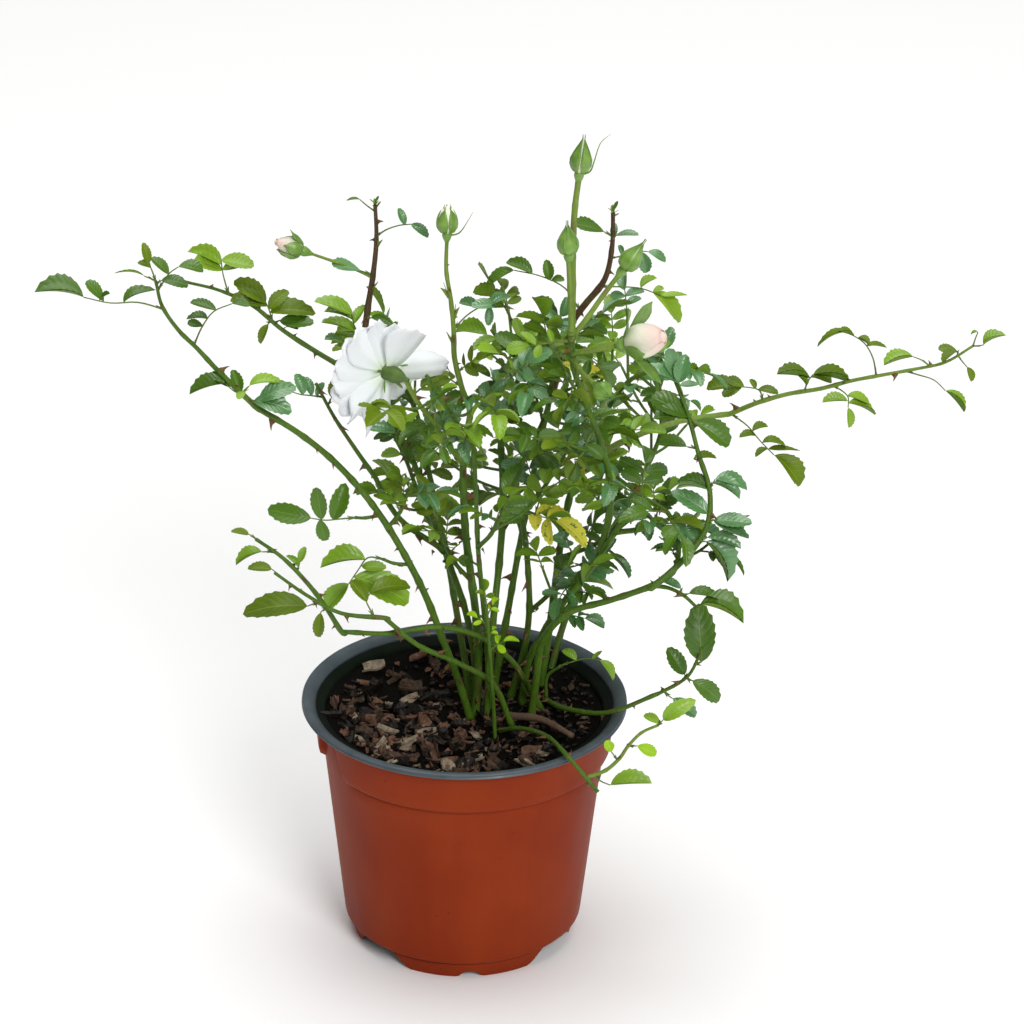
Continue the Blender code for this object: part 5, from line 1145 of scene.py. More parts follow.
def petal_shape(name, cup, wave, notch, curl, point, pleat, seed):
    """A rose petal, one unit long: narrow foot, broad wavy edge, cupped, its rim rolled back."""
    dice = random.Random(seed)
    bm = unit_sheet(14, 12)
    shift = dice.uniform(0, tau)
    for vert in bm.verts:
        u, t = vert.co.x * 2, vert.co.y + 0.5
        half = 0.5 * (0.14 + 0.86 * sin(pi * 0.5 * min(t * 1.3, 1.0)) ** 1.3)
        half *= 1 - point * max((t - 0.55) / 0.45, 0.0) ** 2
        rim = 1.0 - (0.15 + 0.1 * point) * abs(u) ** 2.4 - notch * exp(-(u / 0.2) ** 2)
        rim += 0.022 * sin(5.0 * u + shift) + 0.012 * sin(13.0 * u - shift)
        y = t * rim
        ripple = wave * t ** 2.2 * sin(3.4 * u + shift + 1.2 * t)
        fold = pleat * t * sin(9.0 * u + shift) + 0.3 * pleat * t * sin(21.0 * u)
        z = cup * (u * half * 2.0) ** 2 + cup * 0.35 * t * t - curl * max(t - 0.62, 0.0) ** 2 * 5
        vert.co = Vector((u * half * (1 - 0.12 * max(t - 0.8, 0) * 5 * abs(u)), y,
                          z + ripple + fold))
    bmesh.ops.remove_doubles(bm, verts=bm.verts, dist=0.0001)
    bmesh.ops.solidify(bm, geom=bm.faces[:], thickness=0.012)
    return shape_of(bm, name)


def chip_shape(name, seed):
    """A flake of bark, one unit long: ragged, slightly curled and thin."""
    dice = random.Random(seed)
    bm = bmesh.new()
    bmesh.ops.create_grid(bm, x_segments=3, y_segments=4, size=0.5)
    ragged = [dice.uniform(0.7, 1.1) for _ in range(12)]
    for i, vert in enumerate(bm.verts):
        x, y = vert.co.x, vert.co.y
        reach = ragged[i % 12] if max(abs(x), abs(y)) > 0.45 else 1.0
        curl = 0.55 * x * x + 0.18 * y * y + dice.uniform(-0.035, 0.035)
        vert.co = Vector((x * 0.62 * reach * (1.15 - abs(y) * 0.9), y * reach, curl))
    bmesh.ops.solidify(bm, geom=bm.faces[:], thickness=0.10)
    return shape_of(bm, name, smooth=False)


# --- Finer growth ---

FINER_LEAF = 0.78  # size of a leaf grown between the solids' leaves
STALK_RADIUS = (0.55, 0.33)
# Fronds, listed one by one, that go between the solids' own leaves, as in the table of sprays.
EXTRA_LEAVES = {
    "spray_candelabra": (
        (0.95, 23, 60, (192, 6, 189, -1, 190, -12), (0.48, 126, 62, 8), (0.76, 229, -61, 8), (0.86,
         166, 38, 11), (1, 180, -15, 14)),
        (0.91, 20, 50, (343, -15, 337, -39), (0.51, 231, -67, 10), (0.86, 14, 2, 12), (1, 0, -56,
         14)),
        (0.8, 18, 50, (243, -69, 209, -44), (0.52, 343, -18, 11), (0.74, 163, 12, 10), (1, 180,
         -73, 12)),
        (0.67, 19, 50, (342, -20, 328, -50), (0.44, 17, 28, 12), (0.71, 209, -57, 11), (1, 0, -58,
         13)),
        (0.56, 21, 50, (203, -57, 220, -56), (0.52, 343, -29, 12), (0.79, 164, 1, 11), (1, 180,
         -82, 14))),
}
# Twigs more than the solids have, by spray.
FINER_TWIGS = {"spray_front_left": 2, "spray_centre": 3, "spray_old": 3, "spray_right_tall": 2,
               "spray_candelabra": 3, "spray_back_left": 2, "spray_back_right": 2,
               "spray_low_back": 2, "spray_back_low_left": 2, "spray_dark_top": 1,
               "spray_right_inner": 1, "spray_low_centre": 1, "spray_low_right": 1}


def grow_finer(plan):
    """Twigs and leaves between the ones of the first growth, by the same rule and clearances."""
    for name, leaves in EXTRA_LEAVES.items():
        for row in leaves:
            plan.frond(name, *row)
    for index, (name, s) in enumerate(SPRAYS.items()):
        dice = random.Random(500 + index)
        nodes = plan.stems[name]["nodes"]
        count = FINER_TWIGS.get(name, 0)
        plan.side_twigs(name, nodes, count, s["leaf"] * FINER_LEAF, dice)
        last = len(nodes) - 1
        if s["bare"] >= 1.0:
            continue
        for i in range(last):
            share = (i + 0.5) / last
            if share < s["bare"] or share > s["leaf_to"]:
                continue
            at, ahead = along(nodes, share)
            grown = s["leaf"] * FINER_LEAF * dice.uniform(0.85, 1.15)
            aside = square_to(ahead, dice.uniform(0, tau))
            for again in range(4):
                aside.rotate(Quaternion(ahead, 1.1))
                out = (ahead * 0.5 + aside * 0.9 + UP * 0.25).normalized()
                if plan.leaf(name, (name, "stem"), at, out, grown, dice):
                    break


# --- Building the plant ---

def dealt(weights, dice):
    """A name drawn by its weight."""
    draw = dice.uniform(0, sum(weights.values()))
    for name, weight in weights.items():
        draw -= weight
        if draw <= 0:
            break
    return name


def stem_radius(width, start_width=None, swell=0.0, every=1.0, seed=0.0):
    """Radius along a stem: its taper, swellings at its nodes and a little unevenness."""
    first = start_width or width[0]

    def radius(share):
        lead = max(0.0, 1 - share * 14)
        base = width[0] + (width[1] - width[0]) * share + (first - width[0]) * lead
        near = abs((share * every + 0.5) % 1.0 - 0.5)
        knot = swell * exp(-(near * 9) ** 2)
        uneven = 0.05 * noise.noise(Vector((share * every * 2.3, seed, 0.5)))
        return base / 2 * (1 + knot + uneven) * MM
    return radius


def build_canes(plan, heaps):
    """Canes and boughs, each from its foot in the mix or in its cane."""
    for index, name in enumerate([*CANES, *BOUGHS]):
        stem = plan.stems[name]
        nodes = stem["nodes"]
        if name in BOUGHS:
            cane, share, *_ = BOUGHS[name]
            foot, swell = along(plan.stems[cane]["nodes"], share)[0], 1.35
        else:
            foot, swell = nodes[0] - UP * 1.5 * MM, 1.18
        path = smooth_path([foot, *nodes[1:]], 7)
        radius = stem_radius(stem["width"], stem["width"][0] * swell, 0.16,
                             (len(nodes) - 1) * 1.4, index * 3.1)
        kind = "dead" if name == "dead_stub" else "pale" if name in PALE_CANES else "green"
        heaps["cane_" + kind].add_bmesh(tube(path, radius, 12))


def stem_start(plan, name):
    """A spray's own first point moved back into what carries it, and its width there."""
    s = SPRAYS[name]
    nodes = plan.stems[name]["nodes"]
    if isinstance(s["on"], tuple):
        return [nodes[0] - UP * 1.5 * MM, *nodes[1:]], s["width"][0]
    parent = plan.stems[s["on"]]
    point, ahead = along(parent["nodes"], s["at"])
    if s["at"] == 1.0:
        return [point - ahead * 2.0 * MM, nodes[0], *nodes[1:]], width_at(parent, 1.0) * 0.98
    return [point, *nodes[1:]], s["width"][0] * 1.3


OPEN_SIDE = Vector((-0.05, -0.9, 0.43)).normalized()  # the side that the bloom is kept open to


def bloom_heart(plan):
    return plan.blooms[0]["at"] + BLOOM_FACE * HIP_LENGTH * MM


def before_bloom(spot, heart):
    """Whether a spot lies close before the open bloom."""
    before = (spot - heart).dot(OPEN_SIDE)
    aside = (spot - heart - OPEN_SIDE * before).length
    return -4 * MM < before < BLOOM_DEPTH * MM and aside < BLOOM_CLEAR * MM


def stouter(width, factor):
    return tuple(each * factor for each in width)


def build_twigs(plan, heaps):
    """Stems of the sprays, then the shoots and twigs off them."""
    for index, name in enumerate(SPRAYS):
        stem = dict(plan.stems[name])
        stem["width"] = stouter(stem["width"], 2.0 if name in BROWN_STEMS else 1.3)
        points, first = stem_start(plan, name)
        tint = "brown" if name in BROWN_STEMS else "pale" if name in PALE_STEMS else "green"
        every = len(stem["nodes"]) - 1
        radius = stem_radius(stem["width"], first, 0.14, every, index * 1.7)
        heaps["twig_" + tint].add_bmesh(tube(smooth_path(points, 6), radius, 8))
    heart = bloom_heart(plan)
    for index, twig in enumerate(plan.twigs):
        name = twig["owner"]
        if before_bloom(twig["nodes"][-1], heart):
            continue
        tint = "pale" if name in PALE_TWIGS else "green"
        every = len(twig["nodes"]) - 1
        stout = name == "spray_candelabra" and twig["width"][0] > TWIG_WIDTH[0]
        if name == "spray_candelabra" and not stout:
            tint = "green"
        width = stouter(twig["width"], 1.8 if stout else 1.25)
        radius = stem_radius(width, width[0] * 1.3, 0.1, every, index * 0.9)
        heaps["twig_" + tint].add_bmesh(tube(smooth_path(twig["nodes"], 5), radius, 7))


BRACT_STEMS = {"spray_second_bud": (0.5, 0.62, 0.72), "spray_candelabra": (0.6, 0.8, 0.95),
               "spray_left_bud": (0.35, 0.6, 0.8), "spray_bloom": (0.5, 0.8)}


def build_bracts(plan, heaps):
    """Small bracts that hug the flowering stems, and a tuft of young leaves on each brown tip."""
    for index, (name, shares) in enumerate(BRACT_STEMS.items()):
        dice = random.Random(4000 + index)
        stem = plan.stems[name]
        for share in shares:
            at, ahead = along(stem["nodes"], share)
            aside = square_to(ahead, dice.uniform(0, tau))
            out = (ahead + aside * 0.35).normalized()
            matrix = place_at(at + aside * 0.8 * MM, out, aside, dice.uniform(6, 10) * MM)
            heaps["bract"].add(heaps["stipule"], matrix, dice.random())
    for index, name in enumerate(BROWN_STEMS):
        dice = random.Random(4100 + index)
        at, ahead = along(plan.stems[name]["nodes"], 1.0)
        for k in range(6):
            aside = square_to(ahead, GOLDEN_ANGLE * k)
            out = (ahead * dice.uniform(0.3, 1.1) + aside).normalized()
            size = dice.uniform(3.5, 7.0) * MM
            root = at - ahead * (0.8 * k - 1.5) * MM
            matrix = place_at(root, out, (ahead - aside * 0.3).normalized(), size, size * 0.8)
            heaps["bract" if k % 2 else "leaf_deep"].add(heaps["sepal"], matrix, dice.random())


def build_prickles(plan, heap, shape):
    """Prickles down the canes and the stouter stems, hooked towards the foot."""
    for index, (name, stem) in enumerate(plan.stems.items()):
        if name in ("dead_stub", "spray_left_leaf"):
            continue
        dice = random.Random(900 + index)
        nodes = stem["nodes"]
        path = smooth_path(nodes, 8)
        length = sum((b - a).length for a, b in zip(nodes, nodes[1:])) / MM
        at = dice.uniform(6, 14) if name in CANES else dice.uniform(3, 9)
        while at < length - 4:
            share = at / length
            i = min(int(share * (len(path) - 1)), len(path) - 2)
            point, ahead = path[i], (path[i + 1] - path[i]).normalized()
            out = square_to(ahead, dice.uniform(0, tau))
            size = dice.choice((2.8, 3.6, 4.4, 5.8)) * (0.75 + 0.08 * width_at(stem, share))
            root = point + out * (width_at(stem, share) / 2 * 0.82 * MM)
            side = ahead.cross(out)
            turn = Matrix((side, ahead, out)).transposed().to_4x4()
            matrix = Matrix.Translation(root) @ turn @ Matrix.Scale(size * MM, 4)
            heap.add(shape, matrix)
            at += dice.uniform(9, 24)


def hides_bloom(leaf, heart):
    """Whether any part of this leaf hangs close before the open bloom."""
    middles = [each["root"] + each["ahead"] * each["length"] * 0.6 * MM
               for each in leaf["leaflets"]]
    return any(before_bloom(spot, heart) for spot in [*leaf["rib"], *middles])


def build_leaves(plan, heaps, shapes, unders):
    """Every planned leaf with five leaflets, or three where it is small."""
    yellow = {name: 0 for name in ("spray_centre", "spray_low_centre", "spray_low_front")}
    heart = bloom_heart(plan)
    for index, leaf in enumerate(plan.leaves):
        name = leaf["owner"]
        dice = random.Random(2000 + index)
        finish = "leaf_" + dealt(SPRAY_LEAVES.get(name, CROWN), dice)
        if name in yellow and yellow[name] < 1 and dice.random() < 0.3:
            yellow[name] += 1
            finish = "leaf_yellow"
        rib, normal = leaf["rib"], leaf["normal"]
        size = leaf["leaflets"][-1]["length"]
        if not leaf["placed"] and hides_bloom(leaf, heart):
            continue
        hands = {leaflet["hand"] for leaflet in leaf["leaflets"]}
        bow = [rib[0], rib[0].lerp(rib[-1], 0.5) + UP * 0.6 * MM, rib[-1]] if len(rib) < 3 else rib
        path = smooth_path(bow, 4)
        stalk = (STALK_RADIUS[0] * 2, STALK_RADIUS[1] * 2)
        heaps["leaf_stalk"].add_bmesh(tube(path, stem_radius(stalk, stalk[0] * 1.5), 5))
        first = (path[2] - path[0]).normalized()
        wings = place_at(path[0], first, normal, min(5.0, size * 0.32) * MM)
        heaps["leaf_stalk"].add(heaps["stipule"], wings, dice.random())
        pairs = ((0.40, 0.70), (0.74, 0.84)) if size > 12 else ((0.58, 0.78),)
        spots = []
        if leaf["placed"]:
            spots = [(each["root"], each["ahead"], each["length"], each["normal"])
                     for each in leaf["leaflets"]]
            pairs = ()
        for share, scale in pairs:
            for hand in (1, -1):
                if hand in hands:
                    spots.append((*pair_leaflet(bow, share, hand, normal), size * scale, normal))
        if not leaf["placed"]:
            spots.append((*end_leaflet(bow), size, normal))
        tone = dice.random()
        for root, out, length, face in spots:
            swing = 0.14 if leaf["placed"] else 0.42
            lean = Vector([dice.uniform(-swing, swing) for _ in range(3)])
            facing = (face + lean).normalized()
            drawn = dice.randrange(len(shapes))
            grown = length * dice.uniform(0.92, 1.04) * (1.0 if leaf["placed"] else 0.9) * MM
            matrix = place_at(root, out, facing, grown, grown * dice.uniform(0.86, 1.08))
            heaps[finish].add(shapes[drawn], matrix, min(1.0, tone * 0.7 + dice.random() * 0.3))
            heaps["leaf_under"].add(unders[drawn], matrix, dice.random())


def wrap_point(bud_length, bud_width, share, blunt=False):
    """Radius and height of a bud's body at a share of its length: an egg, its tip drawn out."""
    if share < 0.38:
        reach = sqrt(max(0.0, 1 - (1 - share / 0.38) ** 2))
    else:
        rest = (share - 0.38) / 0.62
        reach = max(0.0, 1 - rest ** 1.9) ** 0.72 if blunt else max(0.0, 1 - rest ** 1.25) ** 1.05
        reach = max(reach, 0.16 * max(1 - share, 0.0) ** 0.3)
    return reach * bud_width / 2, share * bud_length


def wrapped_sheet(length, width, half_angle, reach, free, out, seat, turn, rows=8, columns=4,
                  pointed=True, blunt=False):
    """A sepal or petal laid on a bud: it follows the bud, then its tip leaves it by out."""
    bm = unit_sheet(columns, rows)
    for vert in bm.verts:
        u, t = vert.co.x * 2, vert.co.y + 0.5
        shape = sin(pi * min(0.12 + t * 0.88, 1.0)) ** 0.8 if pointed else \
            sin(pi * (0.16 + 0.6 * t)) ** 0.6
        follow = min(t * reach, 0.97)
        radius, height = wrap_point(length, width, follow, blunt)
        beyond = max(0.0, t * reach - 0.97)
        lift = out * max(0.0, t - free) ** 1.6
        spread = half_angle * shape
        radius = max(radius, 0.35 if pointed else 1.0) + 0.35
        angle = turn + u * spread
        if pointed and t > 0.75:
            angle = turn + u * spread * (1 - (t - 0.75) * 3.2)
        flat_radius = radius + lift * length
        height += beyond * length * 0.9 - lift * length * 0.35
        vert.co = Vector((cos(angle) * flat_radius, sin(angle) * flat_radius,
                          height + seat)) * MM
    bmesh.ops.remove_doubles(bm, verts=bm.verts, dist=0.00001)
    bmesh.ops.solidify(bm, geom=bm.faces[:], thickness=0.00035)
    bmesh.ops.recalc_face_normals(bm, faces=bm.faces)
    return bm


# How each bud looks: body finish, share that the sepals cover, where their tips leave, half
# their width as an angle, how far each one leaves, how much of the body's own tip shows and the
# turn of the first sepal.
BUD_LOOKS = {
    "top_bud": ("petal_cream", 1.12, 0.45, 0.56, (0.04, 0.02, 0.05, 0.1, 0.03), 0.97, 0.83),
    "green_bud": ("petal_cream", 1.16, 0.90, 0.78, (0.06, 0.02, 0.1, 0.0, 0.04), 0.9, 0.2),
    "small_bud": ("petal_cream", 1.14, 0.85, 0.78, (0.05, 0.12, 0.0, 0.1, 0.02), 0.9, 0.2),
    "white_bud": ("petal_cream", 1.06, 0.55, 0.60, (0.1, 0.15, 0.02, 0.2, 0.25), 0.98, 0.35),
    "opening_bud": ("petal_blush", 0.95, 0.25, 0.60, (0.5, 0.9, 0.3, 0.7, 0.4), 1.1, 0.2),
    "blush_bud": ("petal_blush", 0.86, 0.12, 0.36, (0.8, 0.95, 0.5, 0.9, 0.9), 1.0, 0.83),
}
# Long narrow sepals that stand off a bud: heading from the bud, and (out, up) in its lengths.
LONG_SEPALS = {
    "top_bud": (20, ((0.02, 0.14), (0.28, 0.20), (0.36, 0.45), (0.42, 0.80), (0.50, 1.02),
                     (0.72, 1.20))),
    "white_bud": (15, ((0.02, 0.14), (0.34, 0.17), (0.50, 0.30), (0.66, 0.56), (0.86, 0.92))),
}


def build_bud(bud, heaps):
    """A bud on its hip, with petals that show and five sepals."""
    kind = bud["kind"]
    length, width, *_ = BUDS[kind]
    body, reach, free, half_angle, outs, shown, first_turn = BUD_LOOKS[kind]
    blunt = kind in ("blush_bud", "white_bud")
    at, ahead = bud["at"], bud["ahead"]
    dice = random.Random(31 + sum(map(ord, kind)))
    stand = Matrix.Translation(at) @ ahead.to_track_quat("Z", "Y").to_matrix().to_4x4()
    hip_sizes = ((-2.5, 0.9), (-1.2, 1.35), (0.6, 2.3), (2.6, 2.95), (4.6, 2.75), (6.2, 2.2))
    hip_scale = max(width * 0.5, 5.0) / 5.9
    points = [Vector((0, 0, z * MM)) for z, _ in hip_sizes]
    hip = tube(points, lambda share: hip_sizes[round(share * 5)][1] * hip_scale * MM, 14)
    heaps["bud_green"].add_bmesh(hip, 0.4, stand)
    core = bmesh.new()
    core.loops.layers.uv.new("UVMap")
    bmesh.ops.create_uvsphere(core, u_segments=16, v_segments=12, radius=1.0, calc_uvs=True)
    for vert in core.verts:
        share = (vert.co.z + 1) / 2
        radius, height = wrap_point(length * shown, width, share, blunt)
        flat = hypot(vert.co.x, vert.co.y)
        angle = atan2(vert.co.y, vert.co.x)
        crease = 1 - 0.05 * abs(sin(angle * 1.5 + share * 3.0)) * (flat > 0.01)
        radius = radius * 0.90 * crease if flat > 0.001 else 0.0
        vert.co = Vector((cos(angle) * radius, sin(angle) * radius, height + 4.0)) * MM
    heaps[body].add_bmesh(core, stand=stand)
    petals = 3 if kind in ("blush_bud", "opening_bud", "white_bud") else 0
    for k in range(petals):
        sheet = wrapped_sheet(length * shown, width * 0.96, 1.2, 0.93, 0.6, 0.1, 4.0,
                              tau * k / petals + 0.4, 10, 10, False, blunt)
        heaps[body].add_bmesh(sheet, stand=stand)
    if kind in LONG_SEPALS:
        heading, course = LONG_SEPALS[kind]
        aside = bearing(heading, 0)
        points = [at + (aside * out + ahead * up) * length * MM for out, up in course]
        strap = tube(smooth_path(points, 4), lambda share: (1.1 - 0.9 * share) * MM, 6, 0.4)
        heaps["bud_green"].add_bmesh(strap, 0.6)
    for k in range(5):
        sheet = wrapped_sheet(length, width * 1.06, half_angle, reach, free,
                              outs[k] * dice.uniform(0.9, 1.1), 3.6,
                              tau * k / 5 + first_turn, blunt=blunt)
        heaps["bud_green"].add_bmesh(sheet, dice.random(), stand)


# The open bloom's outer petals, reflexed unevenly: heading, rise, length, width and shape.
OUTER_PETALS = (
    (187, 54, 29, 25, 1), (198, 25, 29, 27, 0), (204, -6, 31, 27, 1), (209, -28, 34, 22, 0),
    (140, 77, 29, 18, 3), (52, 58, 26, 20, 0), (350, 52, 30, 25, 2), (23, -4, 37, 17, 2),
    (36, -19, 27, 13, 3), (223, -42, 36, 17, 4), (228, -66, 38, 13, 4), (240, -84, 29, 15, 3),
)
# Its inner rings: count, length, lift from flat and turn of the ring.
INNER_PETALS = ((6, 27, 26, 0.2), (5, 23, 42, 0.6), (5, 18, 58, 0.1), (4, 12, 72, 0.5))
HIP_LENGTH = 11.0
STAMENS = 44
BLOOM_CLEAR = 38.0  # no loose leaf hangs before the bloom within this distance of its heart
BLOOM_DEPTH = 62  # and this far out from its heart


def build_bloom(bloom, heaps, petals):
    """The open bloom: hip, outer and inner petals, sepals behind them, and stamens."""
    at = bloom["at"]
    face = BLOOM_FACE
    dice = random.Random(64)
    seat = at + face * HIP_LENGTH * MM + Vector((-3.5, 0, 3.5)) * MM
    axis = (seat - at).normalized()
    stand = Matrix.Translation(at) @ axis.to_track_quat("Z", "Y").to_matrix().to_4x4()
    reach = (seat - at).length / MM
    hip_sizes = ((-2.5, 1.0), (0.0, 1.5), (2.2, 2.8), (4.6, 4.0), (7.0, 4.7), (9.2, 4.7),
                 (10.6, 4.2), (reach, 4.9))
    points = [Vector((0, 0, z * MM)) for z, _ in hip_sizes]
    hip = tube(points, lambda share: hip_sizes[round(share * 7)][1] * MM, 20)
    heaps["hip_green"].add_bmesh(hip, 0.3, stand)
    for heading, rise, length, width, shape in OUTER_PETALS:
        out = bearing(heading, rise)
        normal = (face - out * face.dot(out)).normalized()
        normal.rotate(Quaternion(out, radians(dice.uniform(-16, 16))))
        root = seat + face * (0.5 if shape < 2 else -0.5) * MM + out * 0.8 * MM
        matrix = place_at(root, out, normal, length * MM, width * MM, length * MM)
        heaps["petal_white"].add(petals[shape], matrix)
    for ring, (count, length, lift, shift) in enumerate(INNER_PETALS):
        for k in range(count):
            out, normal = petal_way(face, tau * (k + shift) / count + dice.uniform(-.1, .1),
                                    radians(lift + dice.uniform(-6, 6)))
            normal.rotate(Quaternion(out, radians(dice.uniform(-12, 16))))
            root = seat + face * (1.4 + 0.5 * ring) * MM + out * 1.2 * MM
            grown = length * dice.uniform(0.9, 1.06) * MM
            matrix = place_at(root, out, normal, grown, grown * dice.uniform(0.85, 1.0))
            heaps["petal_white"].add(petals[(ring + k) % 2], matrix)
    for k in range(5):
        around = square_to(face, tau * (k + 0.3) / 5)
        out = (around * 0.8 - axis * 0.6).normalized()
        root = seat + around * 4.2 * MM - axis * 1.2 * MM
        matrix = place_at(root, out, around + axis, 8.5 * MM, 3.6 * MM, 9 * MM)
        heaps["bud_green"].add(heaps["sepal"], matrix, 0.9)
    for k in range(STAMENS):
        around = square_to(face, GOLDEN_ANGLE * k)
        spread = 0.25 + 0.012 * k
        out = (face + around * spread).normalized()
        root = seat + face * 3.0 * MM + around * (0.06 * k) * MM
        stalk = tube([root, root + out * 4.5 * MM, root + out * 9.0 * MM],
                     lambda share: (0.16 if share < 0.9 else 0.5) * MM, 4)
        heaps["stamens"].add_bmesh(stalk)


# --- Pot, soil and mulch ---

POT_STEPS = 192
LIP_TOP = POT_HEIGHT + 1.6
STEP_BLEND = 5.5  # degrees over which the collar's lower edge climbs
ARCH_SPREAD, ARCH_SLOPE = 19.5, 12.0  # half an arch at the ground and its sloping side, degrees
NOTCH_SPREAD, NOTCH_SLOPE = 6.2, 3.8
ARCH_SHIFT = 1.05


def smooth_step(value, low, high):
    t = min(max((value - low) / (high - low), 0.0), 1.0)
    return t * t * (3 - 2 * t)


def collar_edge(turn):
    """Height of the collar's lower edge at an angle round from the front, in degrees."""
    rise = 0.0
    for gap in COLLAR_GAPS:
        off = abs((turn - gap + 180) % 360 - 180)
        rise = max(rise, 1 - smooth_step(off, COLLAR_GAP_HALF_WIDTH - STEP_BLEND / 2,
                                         COLLAR_GAP_HALF_WIDTH + STEP_BLEND / 2))
    return COLLAR_LOW + (COLLAR_HIGH - 1.5 - COLLAR_LOW) * rise


def arch_height(turn):
    """Height that the foot is cut away to at an angle round from the front."""
    height = 0.0
    cuts = [(angle, ARCH_SPREAD, ARCH_SLOPE, ARCH_HEIGHT - 0.6) for angle in ARCH_ANGLES]
    cuts += [(angle, NOTCH_SPREAD, NOTCH_SLOPE, NOTCH_HEIGHT) for angle in NOTCH_ANGLES]
    for angle, half, slope, top in cuts:
        off = abs((turn - angle * ARCH_SHIFT - POT_TURN + 180) % 360 - 180)
        if off < half:
            height = max(height, top * smooth_step(half - off, -0.15 * slope, slope))
    return height


def wall_radius(height):
    """The wall's own outer radius, below the collar: foot, its groove, then the wall."""
    if height < FOOT_HEIGHT - 0.9:
        return FOOT_RADIUS - 2.3 + 0.17 * height
    low = FOOT_RADIUS + FOOT_STEP + 0.4
    if height < FOOT_HEIGHT + 2.2:
        groove = FOOT_RADIUS - 1.9
        return groove + (low - groove) * smooth_step(height, FOOT_HEIGHT - 0.6, FOOT_HEIGHT + 1.9)
    share = (height - FOOT_HEIGHT - 1) / (COLLAR_LOW - FOOT_HEIGHT - 1)
    return low + (WALL_TOP_RADIUS - low) * share


# Sections of the lip and of the lining in it, as (in, down) from the lip's outer edge and top.
# The lip slopes down inside its crest; two fine beads run round its outer band.
LIP_SECTION = (
    (8.4, 4.6), (8.0, 3.5), (6.8, 2.1), (5.2, 0.9), (3.8, 0.2), (2.6, 0), (1.4, 0.15),
    (0.6, 0.5), (0.25, 0.9), (0.75, 1.3), (0.75, 1.9), (0.1, 2.3), (0, 2.7), (0.4, 3.1),
    (1.2, 3.2), (1.8, 2.6), (3.0, 1.8), (5.0, 2.2), (6.4, 3.6), (7.4, 5.0),
)
LINING_SECTION = (
    (7.9, 4.0), (8.7, 4.9), (12.9, 6.0), (14.3, 8.0), (14.5, 12.0), (15.3, 34.0), (14.7, 34.0),
    (14.0, 12.0), (13.7, 8.4), (12.5, 6.8), (8.2, 5.6), (7.4, 4.6),
)


def turned_ring(section, name, finish):
    """A closed ring turned round the pot's axis from its section."""
    bm = bmesh.new()
    ring = [bm.verts.new((0.0, -(RIM_RADIUS - inward) * MM, (LIP_TOP - down) * MM))
            for inward, down in section]
    edges = [bm.edges.new((ring[k], ring[(k + 1) % len(ring)])) for k in range(len(ring))]
    bmesh.ops.spin(bm, geom=ring + edges, cent=(0, 0, 0), axis=(0, 0, 1), angle=tau,
                   steps=POT_STEPS, use_merge=True)
    bmesh.ops.remove_doubles(bm, verts=bm.verts, dist=0.00001)
    lone_piece(name, finish, "pot_plastic", "pot", bm)


